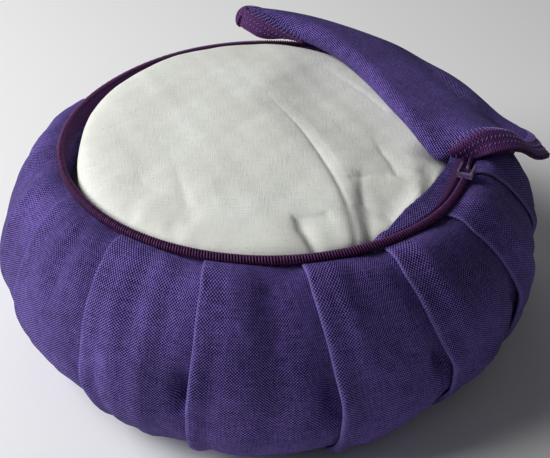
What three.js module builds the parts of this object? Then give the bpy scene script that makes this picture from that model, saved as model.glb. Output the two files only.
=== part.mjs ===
// A round meditation cushion with its pleated cover unzipped: the filled inner cushion shows in the
// opening and the cover's top panel is folded back over the right-hand rear side.
// Millimetres, +Z up, origin on the floor under the middle of the base. The viewer stands at -Y.
import * as THREE from 'three';

// Overall form of the cover
const GIRTH_RADIUS = 175.5;
const GIRTH_HEIGHT = 64;
const RIM_RADIUS = 138.6;
const RIM_HEIGHT = 146;
const RIM_FORWARD = 4.5;
const RIM_PULL = 4;
const RIM_PULL_DEG = -20;
const RIM_PULL_WIDTH_DEG = 16;
const UPPER_POWER = 1.85;
const BASE_RADIUS = 114;
const LOWER_POWER = 2.5;
const BAND_LOW_HEIGHT = 4.2;
const CLOTH = 1.0;
const LAYER_PITCH = 1.35;
const AIR = 0.35;

// Knife pleats of the side band: where each folded edge lies, and how the cloth stands between them
const PLEAT_DEG = [-158, -133.7, -107.3, -79.8, -56, -31.6, -7, 19, 45, 71, 98, 124, 150, 176];
const FOLD_TURN = 1.3;
// The pleats lean a little towards the front at the rim
const PLEAT_LEAN_DEG = 8;
// along: 0 at the rim, 1 at the girth, 2 at the base seam
const BAND_LEVELS = [
  { along: 0.00, underlap: 21, puff: 0.0 },
  { along: 0.16, underlap: 19, puff: 1.2 },
  { along: 0.36, underlap: 17, puff: 3.0 },
  { along: 0.60, underlap: 15, puff: 4.2 },
  { along: 0.86, underlap: 13, puff: 4.8 },
  { along: 1.12, underlap: 13, puff: 4.6 },
  { along: 1.38, underlap: 14, puff: 3.8 },
  { along: 1.62, underlap: 15, puff: 2.2 },
  { along: 1.84, underlap: 16, puff: 0.6 },
];

// Inner cushion
const FILL_CLEAR = 2.0;
const FILL_CROWN = 14;
const FILL_CROWN_X = -22;
const FILL_CROWN_Y = 8;
const FILL_SIDES = 64;
const MOUTH_RADIUS = 131.5;
// How far the filling stands inside the rim, by direction
const MOUTH_GAPS = [
  { deg: -180, gap: 16 },
  { deg: -148, gap: 8 },
  { deg: -112, gap: 1.5 },
  { deg: -72, gap: 2 },
  { deg: -50, gap: 11 },
  { deg: -30, gap: 14 },
  { deg: -8, gap: 10 },
  { deg: 22, gap: 4 },
  { deg: 104, gap: 3 },
  { deg: 150, gap: 11 },
  { deg: 180, gap: 16 },
];
// Creases and hollows of the inner cushion's cloth, from one end to the other
const CREASES = [
  { x0: 8, y0: 42, x1: 44, y1: -58, deep: 2.6, wide: 9 },
  { x0: 44, y0: -58, x1: 58, y1: -100, deep: 3.2, wide: 8 },
  { x0: 18, y0: -92, x1: 36, y1: -84, deep: 3.0, wide: 9 },
  { x0: 62, y0: -38, x1: 84, y1: -52, deep: 2.4, wide: 12 },
  { x0: -78, y0: -36, x1: -62, y1: -78, deep: 1.6, wide: 16 },
];

// Zip
const COIL_WIDE = 3.4;
const COIL_TALL = 3.2;
const TAPE = 0.9;
const TAPE_WIDE = 13;
// Beside the slider the band's tape leans inward over the filling
const TAPE_LEAN = 8.5;
const TAPE_LEAN_DEG = -37;
const TAPE_LEAN_WIDTH_DEG = 15;
const SLIDER_DEG = -22;
const BAND_ZIP_END_DEG = 66;
const SLIDER_LONG = 11;
const SLIDER_WIDE = 9.4;
const SLIDER_TALL = 5.2;
const SLIDER_PLATE = 1.1;

// Top panel, folded back on a curved line across the rear right of the rim
const PANEL_RADIUS = 139;
const PANEL_CLOTH_RADIUS = 135.5;
const FOLD_DIR_DEG = 37.5;
const FOLD_HALF = 124;
const FOLD_END = 65;
const FOLD_BOW = 24;
const FOLD_LEAN = 30;
const FOLD_MIDDLE = 7.3;
const FOLD_TAKE_UP = 0.946;
const SEAM_RADIUS = 136.4;
// The end beside the slider swings in behind as it falls
const FOLD_TUCK = 40;
const END_DROOP = 8;
const FALL_TAKE_UP = 0.955;
const BAND_STAND_OFF = 11.5;
// side: -1 at the slider, 1 at the far end. roll: radius of the fold. rest: height of the lower layer.
// d0 to d170: how steeply the cloth falls, in degrees, that many millimetres past the fold's top.
const FOLD_SECTIONS = [
  { side: -1, roll: 4.2, rest: 152.0, d0: 0, d30: 4, d60: 26, d95: 70, d130: 86, d170: 90 },
  { side: 0, roll: 8.5, rest: 151.4, d0: 4, d30: 22, d60: 42, d95: 62, d130: 80, d170: 90 },
  { side: 1, roll: 9, rest: 154.6, d0: 8, d30: 30, d60: 48, d95: 72, d130: 86, d170: 90 },
];
const FALL_STEPS = [0, 30, 60, 95, 130, 170];

const rad = (deg) => deg * Math.PI / 180;
const mix = (a, b, t) => a + (b - a) * t;
const clamp01 = (t) => Math.min(1, Math.max(0, t));
const ease = (a, b, v) => {
  const t = clamp01((v - a) / (b - a));
  return t * t * (3 - 2 * t);
};

// Angle between two directions, in degrees from -180 to 180
const turnBetween = (a, b) => ((a - b + 540) % 360 + 360) % 360 - 180;

// Cover's middle surface: radius and height at a place between rim, girth and base, with its outward slope
function profile(along) {
  const point = (t) => {
    if (t <= 1) {
      const a = t * Math.PI / 2;
      return {
        r: RIM_RADIUS + (GIRTH_RADIUS - RIM_RADIUS) * Math.pow(Math.sin(a), 2 / UPPER_POWER),
        z: GIRTH_HEIGHT + (RIM_HEIGHT - GIRTH_HEIGHT) * Math.pow(Math.cos(a), 2 / UPPER_POWER),
      };
    }
    const a = (t - 1) * Math.PI / 2;
    return {
      r: BASE_RADIUS + (GIRTH_RADIUS - BASE_RADIUS) * Math.pow(Math.cos(a), 2 / LOWER_POWER),
      z: GIRTH_HEIGHT - (GIRTH_HEIGHT - BAND_LOW_HEIGHT) * Math.pow(Math.sin(a), 2 / LOWER_POWER),
    };
  };
  const step = 0.012;
  const here = point(along);
  const before = point(Math.max(0, along - step));
  const after = point(Math.min(1.99, along + step));
  const dr = after.r - before.r;
  const dz = after.z - before.z;
  const len = Math.hypot(dr, dz);
  return { r: here.r, z: here.z, nr: -dz / len, nz: dr / len };
}

// The mouth of the cover sits a little to the front and is drawn in beside the slider
function coverPoint(theta, r, z) {
  const high = ease(60, RIM_HEIGHT, z);
  const off = turnBetween(theta * 180 / Math.PI, RIM_PULL_DEG) / RIM_PULL_WIDTH_DEG;
  const radius = r - RIM_PULL * high * Math.exp(-off * off);
  return [radius * Math.cos(theta), radius * Math.sin(theta) - RIM_FORWARD * high, z];
}

// Closed body from vertex rows and triangles
function solid(name, points, faces, color, roughness) {
  const geometry = new THREE.BufferGeometry();
  geometry.setAttribute('position', new THREE.Float32BufferAttribute(points.flat(), 3));
  geometry.setIndex(faces.flat());
  geometry.computeVertexNormals();
  const material = new THREE.MeshStandardMaterial({ color, roughness, metalness: 0 });
  const mesh = new THREE.Mesh(geometry, material);
  mesh.name = name;
  return mesh;
}

// Ring of cross-sections closed on itself, or open with flat ends
function sweep(sections, closed) {
  const size = sections[0].length;
  const points = sections.flat();
  const faces = [];
  const count = sections.length;
  const last = closed ? count : count - 1;
  for (let i = 0; i < last; i += 1) {
    const a = i * size;
    const b = ((i + 1) % count) * size;
    for (let j = 0; j < size; j += 1) {
      const k = (j + 1) % size;
      faces.push([a + j, b + j, b + k]);
      faces.push([a + j, b + k, a + k]);
    }
  }
  if (!closed) {
    const end = (count - 1) * size;
    const flat = sections[0].map((p, j) => j);
    for (const [i, j, k] of capFaces(sections[0], flat)) faces.push([i, j, k]);
    for (const [i, j, k] of capFaces(sections[count - 1], flat)) faces.push([end + i, end + k, end + j]);
  }
  return { points, faces };
}

// Triangles over one flat outline of points in space, wound the way the outline runs
function capFaces(outline) {
  const origin = new THREE.Vector3(...outline[0]);
  const vectors = outline.map((p) => new THREE.Vector3(...p).sub(origin));
  const normal = new THREE.Vector3();
  for (let i = 0; i < vectors.length; i += 1) {
    normal.add(vectors[i].clone().cross(vectors[(i + 1) % vectors.length]));
  }
  normal.normalize();
  const side = Math.abs(normal.z) < 0.9 ? new THREE.Vector3(0, 0, 1) : new THREE.Vector3(1, 0, 0);
  const u = side.clone().cross(normal).normalize();
  const v = normal.clone().cross(u);
  const flat = vectors.map((p) => new THREE.Vector2(p.dot(u), p.dot(v)));
  return THREE.ShapeUtils.triangulateShape(flat, []);
}

// Turns a body right side out when its faces point inward
function faceOut(body) {
  let volume = 0;
  for (const [i, j, k] of body.faces) {
    const [a, b, c] = [body.points[i], body.points[j], body.points[k]];
    volume += a[0] * (b[1] * c[2] - b[2] * c[1]);
    volume += a[1] * (b[2] * c[0] - b[0] * c[2]);
    volume += a[2] * (b[0] * c[1] - b[1] * c[0]);
  }
  if (volume < 0) body.faces = body.faces.map(([i, j, k]) => [i, k, j]);
  return body;
}

// Side band: one strip of cloth folded back on itself at every pleat, from the rim to the base seam
function bandLine(level, face) {
  const at = profile(level.along);
  const p = LAYER_PITCH;
  const points = [];
  PLEAT_DEG.forEach((deg, i) => {
    const next = PLEAT_DEG[(i + 1) % PLEAT_DEG.length];
    const length = rad(((next - deg) % 360 + 360) % 360) * at.r;
    const under = level.underlap;
    const puff = level.puff;
    const e = FOLD_TURN;
    const rest = length - under;
    // s along the cloth, q out from the cover's middle surface, n the cloth's outer side there
    const line = [
      { s: 0, q: 1.5 * p, ns: -1, nq: 0 },
      { s: e, q: 2 * p, ns: 0, nq: 1 },
      { s: under * 0.6, q: 2 * p + puff * 0.75, ns: 0, nq: 1 },
      { s: under + 3, q: 2 * p + puff, ns: 0, nq: 1 },
      { s: under + rest * 0.5, q: p + puff * 0.92, ns: 0, nq: 1 },
      { s: under + rest * 0.8, q: puff * 0.5, ns: 0, nq: 1 },
      { s: length - 1, q: 0, ns: 0, nq: 1 },
      { s: length + under - e, q: 0, ns: 0, nq: 1 },
      { s: length + under, q: 0.5 * p, ns: -1, nq: 0 },
      { s: length + under - e, q: p, ns: 0, nq: -1 },
      { s: length + e, q: p, ns: 0, nq: -1 },
    ];
    for (const c of line) {
      const s = c.s + c.ns * face * CLOTH / 2;
      const q = c.q + c.nq * face * CLOTH / 2;
      const theta = rad(deg) + s / at.r;
      const lean = rad(PLEAT_LEAN_DEG) * Math.max(0, 1 - level.along) * Math.cos(theta);
      points.push(coverPoint(theta - lean, at.r + q * at.nr, at.z + q * at.nz));
    }
  });
  return points;
}

function sideBand() {
  const outer = BAND_LEVELS.map((level) => bandLine(level, 1));
  const inner = BAND_LEVELS.map((level) => bandLine(level, -1)).reverse();
  const loops = [...outer, ...inner];
  const around = loops[0].length;
  const sections = [];
  for (let i = 0; i < around; i += 1) sections.push(loops.map((loop) => loop[i]));
  return faceOut(sweep(sections, true));
}

// Base panel: a flat disc whose seam edge turns up inside the band
function bottomPanel() {
  const outline = [[0, 0], [116, 0], [124, 1.4], [129, 4.6]];
  const top = [[128.2, 5.6], [123.6, 2.5], [115.8, CLOTH + 0.1], [0, CLOTH + 0.1]];
  const points = [...outline, ...top].map(([r, z]) => new THREE.Vector2(r, z));
  const geometry = new THREE.LatheGeometry(points, 56).rotateX(Math.PI / 2);
  const material = new THREE.MeshStandardMaterial({ color: 0x4a3d74, roughness: 0.9 });
  const mesh = new THREE.Mesh(geometry, material);
  mesh.name = 'bottom_panel';
  return mesh;
}

const foldNorth = [Math.cos(rad(FOLD_DIR_DEG)), Math.sin(rad(FOLD_DIR_DEG))];
const foldAlong = [-foldNorth[1], foldNorth[0]];
const acrossFold = (x, y) => x * foldNorth[0] + y * foldNorth[1];

function mouthGap(deg) {
  for (let i = 0; i + 1 < MOUTH_GAPS.length; i += 1) {
    const a = MOUTH_GAPS[i];
    const b = MOUTH_GAPS[i + 1];
    if (deg <= b.deg) return mix(a.gap, b.gap, ease(a.deg, b.deg, deg));
  }
  return MOUTH_GAPS[0].gap;
}

// Crown of the filling: a low dome, pressed down where the folded panel lies, creased by hand
function crownHeight(x, y) {
  const far = Math.hypot(x - FILL_CROWN_X, y - FILL_CROWN_Y) / 158;
  const dome = FILL_CROWN * Math.max(0, 1 - far * far);
  const pressed = ease(30, 84, acrossFold(x, y));
  let z = RIM_HEIGHT + 2 + mix(dome, Math.min(dome, 0.5), pressed);
  for (const c of CREASES) {
    const dx = c.x1 - c.x0;
    const dy = c.y1 - c.y0;
    const t = clamp01(((x - c.x0) * dx + (y - c.y0) * dy) / (dx * dx + dy * dy));
    const d = Math.hypot(x - c.x0 - dx * t, y - c.y0 - dy * t) / c.wide;
    z -= c.deep * Math.exp(-d * d);
  }
  return z;
}

function innerCushion() {
  const floor = CLOTH + 0.1 + AIR;
  const sideLevels = [1.74, 1.5, 1.25, 1.0, 0.8, 0.62];
  const rings = [];
  for (let i = 0; i < FILL_SIDES; i += 1) {
    const theta = i / FILL_SIDES * 2 * Math.PI;
    const deg = turnBetween(theta * 180 / Math.PI, 0);
    const ring = [];
    for (const r of [40, 80, 108]) ring.push(coverPoint(theta, r, floor));
    ring.push(coverPoint(theta, 119, 5));
    const mouth = MOUTH_RADIUS - mouthGap(deg);
    for (const along of sideLevels) {
      const at = profile(along);
      const clear = -CLOTH / 2 - FILL_CLEAR;
      ring.push(coverPoint(theta, at.r + clear * at.nr, at.z + clear * at.nz));
    }
    ring.push(coverPoint(theta, mix(mouth, GIRTH_RADIUS, 0.42), RIM_HEIGHT - 22));
    ring.push(coverPoint(theta, mouth + 3, RIM_HEIGHT - 13));
    const [mx, my] = coverPoint(theta, mouth, RIM_HEIGHT);
    const shoulders = [
      { in: 0, drop: 9 },
      { in: 4, drop: 3.4 },
      { in: 11, drop: 0.9 },
      { in: 22, drop: 0 },
    ];
    for (const sh of shoulders) {
      const k = 1 - sh.in / Math.hypot(mx, my);
      const x = mx * k;
      const y = my * k;
      ring.push([x, y, crownHeight(x, y) - sh.drop]);
    }
    for (const k of [0.7, 0.56, 0.42, 0.28, 0.14]) {
      ring.push([mx * k, my * k, crownHeight(mx * k, my * k)]);
    }
    rings.push(ring);
  }
  const size = rings[0].length;
  const points = rings.flat();
  const faces = [];
  const low = points.push([0, 0, floor]) - 1;
  const high = points.push([0, 0, crownHeight(0, 0)]) - 1;
  for (let i = 0; i < FILL_SIDES; i += 1) {
    const a = i * size;
    const b = ((i + 1) % FILL_SIDES) * size;
    faces.push([low, b, a]);
    faces.push([high, a + size - 1, b + size - 1]);
    for (let j = 0; j + 1 < size; j += 1) {
      faces.push([a + j, b + j, b + j + 1]);
      faces.push([a + j, b + j + 1, a + j + 1]);
    }
  }
  return faceOut({ points, faces });
}

// Folded top panel. u runs along the fold, b across it: b = 0 on the fold's front, growing outward
// over the upper layer and negative on the lower layer that leads back to the seam.
function foldFront(u) {
  const s = u / FOLD_HALF;
  return FOLD_END + FOLD_BOW * (1 - s * s) + FOLD_LEAN * s * (1 - s * s);
}

function foldSection(u) {
  const s = Math.min(1, Math.max(-1, u / FOLD_HALF));
  const from = s < 0 ? FOLD_SECTIONS[0] : FOLD_SECTIONS[1];
  const to = s < 0 ? FOLD_SECTIONS[1] : FOLD_SECTIONS[2];
  const t = ease(from.side, to.side, s);
  const between = (key) => mix(from[key], to[key], t);
  return {
    roll: between('roll'),
    rest: between('rest'),
    falls: FALL_STEPS.map((step) => between('d' + step)),
  };
}

// Where the upper layer has come to, a given length past the top of the fold
function fallFrom(falls, length) {
  let n = 0;
  let z = 0;
  const step = 2;
  for (let t = 0; t < length; t += step) {
    const piece = Math.min(step, length - t);
    const mid = t + piece / 2;
    let k = 0;
    while (k + 2 < FALL_STEPS.length && mid > FALL_STEPS[k + 1]) k += 1;
    const w = clamp01((mid - FALL_STEPS[k]) / (FALL_STEPS[k + 1] - FALL_STEPS[k]));
    const angle = rad(mix(falls[k], falls[k + 1], w));
    n += piece * Math.cos(angle);
    z -= piece * Math.sin(angle);
  }
  return { n, z };
}

// Radius at which hanging cloth is clear of the band at a height, straight down below the girth
function clearRadius(z) {
  const high = Math.max(0, (z - BAND_STAND_OFF + 3 - GIRTH_HEIGHT) / (RIM_HEIGHT - GIRTH_HEIGHT));
  if (high >= 1) return 0;
  const bulge = (1 - high ** UPPER_POWER) ** (1 / UPPER_POWER);
  return RIM_RADIUS + (GIRTH_RADIUS - RIM_RADIUS) * bulge + BAND_STAND_OFF * (1 - high ** 4);
}

function panelPoint(u, b) {
  const { roll, rest, falls } = foldSection(u);
  const front = foldFront(u);
  const quarter = roll * Math.PI / 2;
  const turn = Math.min(Math.abs(b), quarter) / roll;
  let n = front + roll * (1 - Math.cos(turn));
  let z = rest + roll + Math.sign(b) * roll * Math.sin(turn);
  const tuck = FOLD_TUCK * ease(78, 150, b) * ease(-30, -FOLD_HALF, u);
  const a = FOLD_MIDDLE + FOLD_TAKE_UP * u + tuck;
  if (b > quarter) {
    const fall = fallFrom(falls, (b - quarter) * FALL_TAKE_UP);
    n += fall.n;
    z += fall.z;
    const clear = Math.sqrt(Math.max(0, clearRadius(z) ** 2 - a * a));
    n = (n + clear + Math.hypot(n - clear, 5)) / 2;
  }
  if (b < -quarter) n += -b - quarter;
  z -= END_DROOP * ease(-100, -142, u) * ease(0, 30, b);
  return [n * foldNorth[0] + a * foldAlong[0], n * foldNorth[1] + a * foldAlong[1], z];
}

// A place lifted off the panel towards its inside face, which lies uppermost once it is folded back
function panelLifted(u, b, lift) {
  const h = 1.5;
  const p = new THREE.Vector3(...panelPoint(u, b));
  const du = new THREE.Vector3(...panelPoint(u + h, b)).sub(new THREE.Vector3(...panelPoint(u - h, b)));
  const db = new THREE.Vector3(...panelPoint(u, b + h)).sub(new THREE.Vector3(...panelPoint(u, b - h)));
  const normal = db.cross(du).normalize();
  return p.addScaledVector(normal, lift).toArray();
}

// Where the lower layer ends: at the seam on the rim, or at the panel's own edge beyond the seam
function panelStart(u) {
  const half = Math.sqrt(PANEL_CLOTH_RADIUS ** 2 - u * u);
  const edge = foldFront(u) - half;
  const roll = foldSection(u).roll;
  const a = FOLD_MIDDLE + FOLD_TAKE_UP * u;
  const middle = [-acrossFold(0, RIM_FORWARD), -RIM_FORWARD * foldAlong[1]];
  const chord = Math.max(0, SEAM_RADIUS ** 2 - (a - middle[1]) ** 2);
  const reach = middle[0] + Math.sqrt(chord) - foldFront(u) - roll;
  const seam = -(Math.max(0, reach) + roll * Math.PI / 2);
  const s = u / FOLD_HALF;
  return mix(seam, edge, s > 0 ? ease(0.32, 0.52, s) : ease(-0.7, -1, s));
}

function topPanel() {
  const columns = 34;
  const widest = rad(86.5);
  const sections = [];
  for (let i = 0; i <= columns; i += 1) {
    const u = PANEL_CLOTH_RADIUS * Math.sin(mix(-widest, widest, i / columns));
    const start = panelStart(u);
    const end = foldFront(u) + Math.sqrt(PANEL_CLOTH_RADIUS ** 2 - u * u);
    const turnIn = Math.max(start + 3, -16);
    const turnOut = Math.max(turnIn + 6, 16);
    const places = [];
    for (let k = 0; k < 3; k += 1) places.push(mix(start, turnIn, k / 3));
    for (let k = 0; k < 8; k += 1) places.push(mix(turnIn, turnOut, k / 8));
    for (let k = 0; k <= 9; k += 1) places.push(mix(turnOut, end, k / 9));
    const upper = places.map((b) => panelLifted(u, b, CLOTH / 2));
    const lower = places.map((b) => panelLifted(u, b, -CLOTH / 2));
    sections.push([...upper, ...lower.reverse()]);
  }
  return faceOut(stripSweep(sections));
}

// Sweep of a sheet's sections, its two ends closed by the strip between the faces
function stripSweep(sections) {
  const size = sections[0].length;
  const body = sweep(sections, true);
  const count = sections.length;
  body.faces = body.faces.slice(0, (count - 1) * size * 2);
  for (const end of [0, count - 1]) {
    const base = end * size;
    for (let j = 0; j + 1 < size / 2; j += 1) {
      const [a, b] = [base + j, base + j + 1];
      const [c, d] = [base + size - 1 - j, base + size - 2 - j];
      if (end === 0) body.faces.push([a, b, d], [a, d, c]);
      else body.faces.push([a, d, b], [a, c, d]);
    }
  }
  return body;
}

// Half of the zip on the folded panel: tape on the inside face with the coil along its edge
function flapZip() {
  const from = rad(38);
  const to = rad(297);
  const steps = 66;
  const near = CLOTH / 2 + 1.2;
  const outline = [
    { out: -TAPE_WIDE, lift: near },
    { out: -TAPE_WIDE * 0.65, lift: near },
    { out: -TAPE_WIDE * 0.3, lift: near },
    { out: 1.2, lift: near },
    { out: 1.4, lift: near - 1.1 },
    { out: COIL_WIDE + 0.8, lift: near - 1.1 },
    { out: COIL_WIDE + 0.8, lift: near - 1.1 + COIL_TALL },
    { out: 0.8, lift: near - 1.1 + COIL_TALL },
    { out: 0.8, lift: near + TAPE },
    { out: -TAPE_WIDE * 0.3, lift: near + TAPE },
    { out: -TAPE_WIDE * 0.65, lift: near + TAPE },
    { out: -TAPE_WIDE, lift: near + TAPE },
  ];
  const sections = [];
  for (let i = 0; i <= steps; i += 1) {
    const t = i / steps;
    const psi = mix(from, to, t - 0.12 * Math.sin(2 * Math.PI * t));
    sections.push(outline.map((c) => {
      const r = PANEL_CLOTH_RADIUS + c.out;
      const u = r * Math.sin(psi);
      return panelLifted(u, foldFront(u) - r * Math.cos(psi), c.lift);
    }));
  }
  return faceOut(sweep(sections, false));
}

// Half of the zip on the band: tape standing inside the rim with the coil along its top
function bandZip() {
  const from = SLIDER_DEG - 2.65;
  const to = BAND_ZIP_END_DEG - 360;
  const steps = 72;
  const r = RIM_RADIUS - 1 - COIL_WIDE;
  const z = RIM_HEIGHT + 0.4;
  const outline = [
    [r + 0.2, z - TAPE_WIDE],
    [r + 0.2 + TAPE, z - TAPE_WIDE],
    [r + 0.2 + TAPE, z],
    [r + COIL_WIDE, z],
    [r + COIL_WIDE, z + COIL_TALL],
    [r, z + COIL_TALL],
    [r, z],
    [r + 0.2, z - 0.6],
  ];
  const sections = [];
  for (let i = 0; i <= steps; i += 1) {
    const deg = mix(from, to, i / steps);
    const off = turnBetween(deg, TAPE_LEAN_DEG) / TAPE_LEAN_WIDTH_DEG;
    const lean = TAPE_LEAN * Math.exp(-off * off);
    sections.push(outline.map(([pr, pz]) => {
      const low = pz < z - 2 ? 1 : 0;
      const high = coverPoint(rad(deg), pr - lean * low, RIM_HEIGHT);
      return [high[0], high[1], pz + 0.35 * lean * low];
    }));
  }
  return faceOut(sweep(sections, false));
}

// Slider: two plates joined by a post between the coils, with a flange down each side
function zipSlider() {
  const w = SLIDER_WIDE / 2;
  const h = SLIDER_TALL;
  const t = SLIDER_PLATE;
  const lip = 1.2;
  const post = 0.8;
  const outline = [
    [-w, 0], [w, 0], [w, lip + t], [w - t, lip + t], [w - t, t], [post, t], [post, h - t],
    [w - t, h - t], [w - t, h - t - lip], [w, h - t - lip], [w, h], [-w, h],
    [-w, h - t - lip], [-w + t, h - t - lip], [-w + t, h - t], [-post, h - t], [-post, t],
    [-w + t, t], [-w + t, lip + t], [-w, lip + t],
  ];
  const theta = rad(SLIDER_DEG);
  const centre = coverPoint(theta, RIM_RADIUS - 2, RIM_HEIGHT);
  const out = [Math.cos(theta), Math.sin(theta)];
  const along = [-out[1], out[0]];
  const sections = [];
  for (const place of [-SLIDER_LONG / 2, SLIDER_LONG / 2]) {
    sections.push(outline.map(([x, z]) => [
      centre[0] + out[0] * x + along[0] * place,
      centre[1] + out[1] * x + along[1] * place,
      RIM_HEIGHT + 2.7 + z,
    ]));
  }
  return faceOut(sweep(sections, false));
}

const group = new THREE.Group();
group.name = 'zafu_cushion';
const pieces = [
  ['side_band', sideBand(), 0x4a3d74, 0.9],
  ['inner_cushion', innerCushion(), 0xd6d9d2, 0.95],
  ['top_panel', topPanel(), 0x4f4279, 0.9],
  ['flap_zip', flapZip(), 0x3f2a4c, 0.8],
  ['band_zip', bandZip(), 0x3a2342, 0.8],
  ['zip_slider', zipSlider(), 0x5a4a86, 0.5],
];
for (const [name, body, color, roughness] of pieces) {
  group.add(solid(name, body.points, body.faces, color, roughness));
}
group.add(bottomPanel());

export default group;
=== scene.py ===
import math

import bmesh
import bpy
import numpy as np
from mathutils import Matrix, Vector


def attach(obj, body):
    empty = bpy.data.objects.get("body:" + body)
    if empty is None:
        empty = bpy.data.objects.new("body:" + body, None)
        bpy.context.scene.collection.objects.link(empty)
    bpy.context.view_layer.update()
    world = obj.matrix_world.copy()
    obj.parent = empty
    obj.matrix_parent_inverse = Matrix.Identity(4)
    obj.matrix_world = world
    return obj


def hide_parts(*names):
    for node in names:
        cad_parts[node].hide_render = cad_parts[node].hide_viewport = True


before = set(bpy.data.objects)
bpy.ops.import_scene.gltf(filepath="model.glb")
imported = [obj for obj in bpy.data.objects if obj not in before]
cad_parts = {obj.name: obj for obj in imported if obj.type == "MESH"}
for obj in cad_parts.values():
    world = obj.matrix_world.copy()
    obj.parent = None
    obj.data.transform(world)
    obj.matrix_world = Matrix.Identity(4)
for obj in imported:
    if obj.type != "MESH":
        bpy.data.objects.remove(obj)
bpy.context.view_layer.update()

bl_info = {
    "name": "Pleated floor cushion",
    "version": (1, 0, 0),
    "blender": (4, 5, 0),
    "location": "View3D > Sidebar > Cushion",
    "description": "Dresses a round pleated cushion whose zipped cover lies open",
    "category": "Object",
}

MM = 0.001
# Points closer than this are joined, in metres
SAME_PLACE = 1e-6

# Knife pleats: where each folded edge lies round the band, in degrees
PLEAT_DEG = (-158, -133.7, -107.3, -79.8, -56, -31.6, -7, 19, 45, 71, 98, 124, 150, 176)
# Spacing of a pleat's layers, in millimetres
LAYER = 1.35
# How far each folded edge wanders round the band on its way down, in degrees
WANDER_ALONG = (0.0, 0.3, 0.6, 0.9, 1.2, 1.5, 1.86)
PLEAT_WANDER = (
    (1.0, 4.0, 4.5, 3.3, 3.0, 2.5, 2.0),
    (0.4, 2.6, 3.6, 4.6, 4.6, 4.0, 3.0),
    (-0.2, 1.8, 2.4, 2.2, 1.3, 0.8, 0.5),
    (-1.3, -0.4, 1.5, 3.0, 3.6, 2.6, 1.5),
    (-1.5, -1.9, 0.1, 3.0, 5.8, 6.6, 5.0),
    (-2.0, -2.2, 1.5, 5.4, 6.3, 6.0, 5.0),
    (-4.0, -3.0, -1.0, 1.5, 3.0, 3.0, 2.5),
    (0.0, 0.5, 1.5, 2.5, 3.0, 2.5, 2.0),
    (0.0, -0.5, -1.5, -1.0, 0.5, 1.0, 1.0),
    (0.0, 1.0, 2.0, 2.5, 2.0, 1.5, 1.0),
    (0.0, 0.5, 0.0, -1.0, -1.5, -1.0, 0.0),
    (0.0, 1.0, 2.5, 3.5, 3.0, 2.0, 1.0),
    (0.0, -0.5, -0.5, 0.5, 2.0, 2.5, 2.0),
    (0.0, 1.5, 2.0, 1.5, 1.0, 1.0, 1.0),
)
# along 0 is the rim, 1 the girth and 2 the base seam; the rest is in millimetres
BAND_ALONG = (0.00, 0.16, 0.36, 0.60, 0.86, 1.12, 1.38, 1.62, 1.84)
BAND_UNDERLAP = (21, 19, 17, 15, 13, 13, 14, 15, 16)
BAND_PUFF = (0.0, 1.2, 3.0, 4.2, 4.8, 4.6, 3.8, 2.2, 0.6)
# Places where a folded edge stands off and the cloth before it sinks
BAND_POCKETS = (  # pleat, along, reach by along, lift and sink in millimetres
    (2, 0.91, 0.12, 2.0, 10.0),
    (3, 0.92, 0.15, 5.5, 12.0),
    (4, 0.90, 0.10, 3.5, 9.5),
    (1, 1.05, 0.16, 0.6, 2.0),
    (5, 0.95, 0.13, 1.0, 5.0),
    (9, 1.05, 0.18, 1.8, 6.0),
    (12, 1.00, 0.18, 1.6, 6.0),
)
# Rolled edge of each pleat and the soft valley beside it, by along
ROLL_ALONG = (0.0, 0.4, 0.9, 1.35, 1.65, 1.86)
ROLL_UP = (0.0, 0.2, 0.9, 1.4, 0.7, 0.1)
ROLL_VALLEY = (0.0, 0.3, 1.1, 1.4, 0.6, 0.1)

# Base panel: its seam edge turns up, by radius in millimetres, and its thickness in metres
BASE_EDGE = (0, 116, 120, 124, 129)
BASE_RISE = (0, 0, 0.4, 1.4, 4.6)
BASE_THICK = 0.001

# Filling: how far it stands inside the rim by direction, in degrees and millimetres
MOUTH_DEG = (-180, -172, -165, -158, -150, -142, -112, -72, -50, -30, -8, 22, 104, 150, 180)
MOUTH_GAP = (7.5, 7, 5, 2, -0.5, -0.5, 0, 0.5, 6, 8, 7, 4, 0, 4, 7.5)
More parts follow.
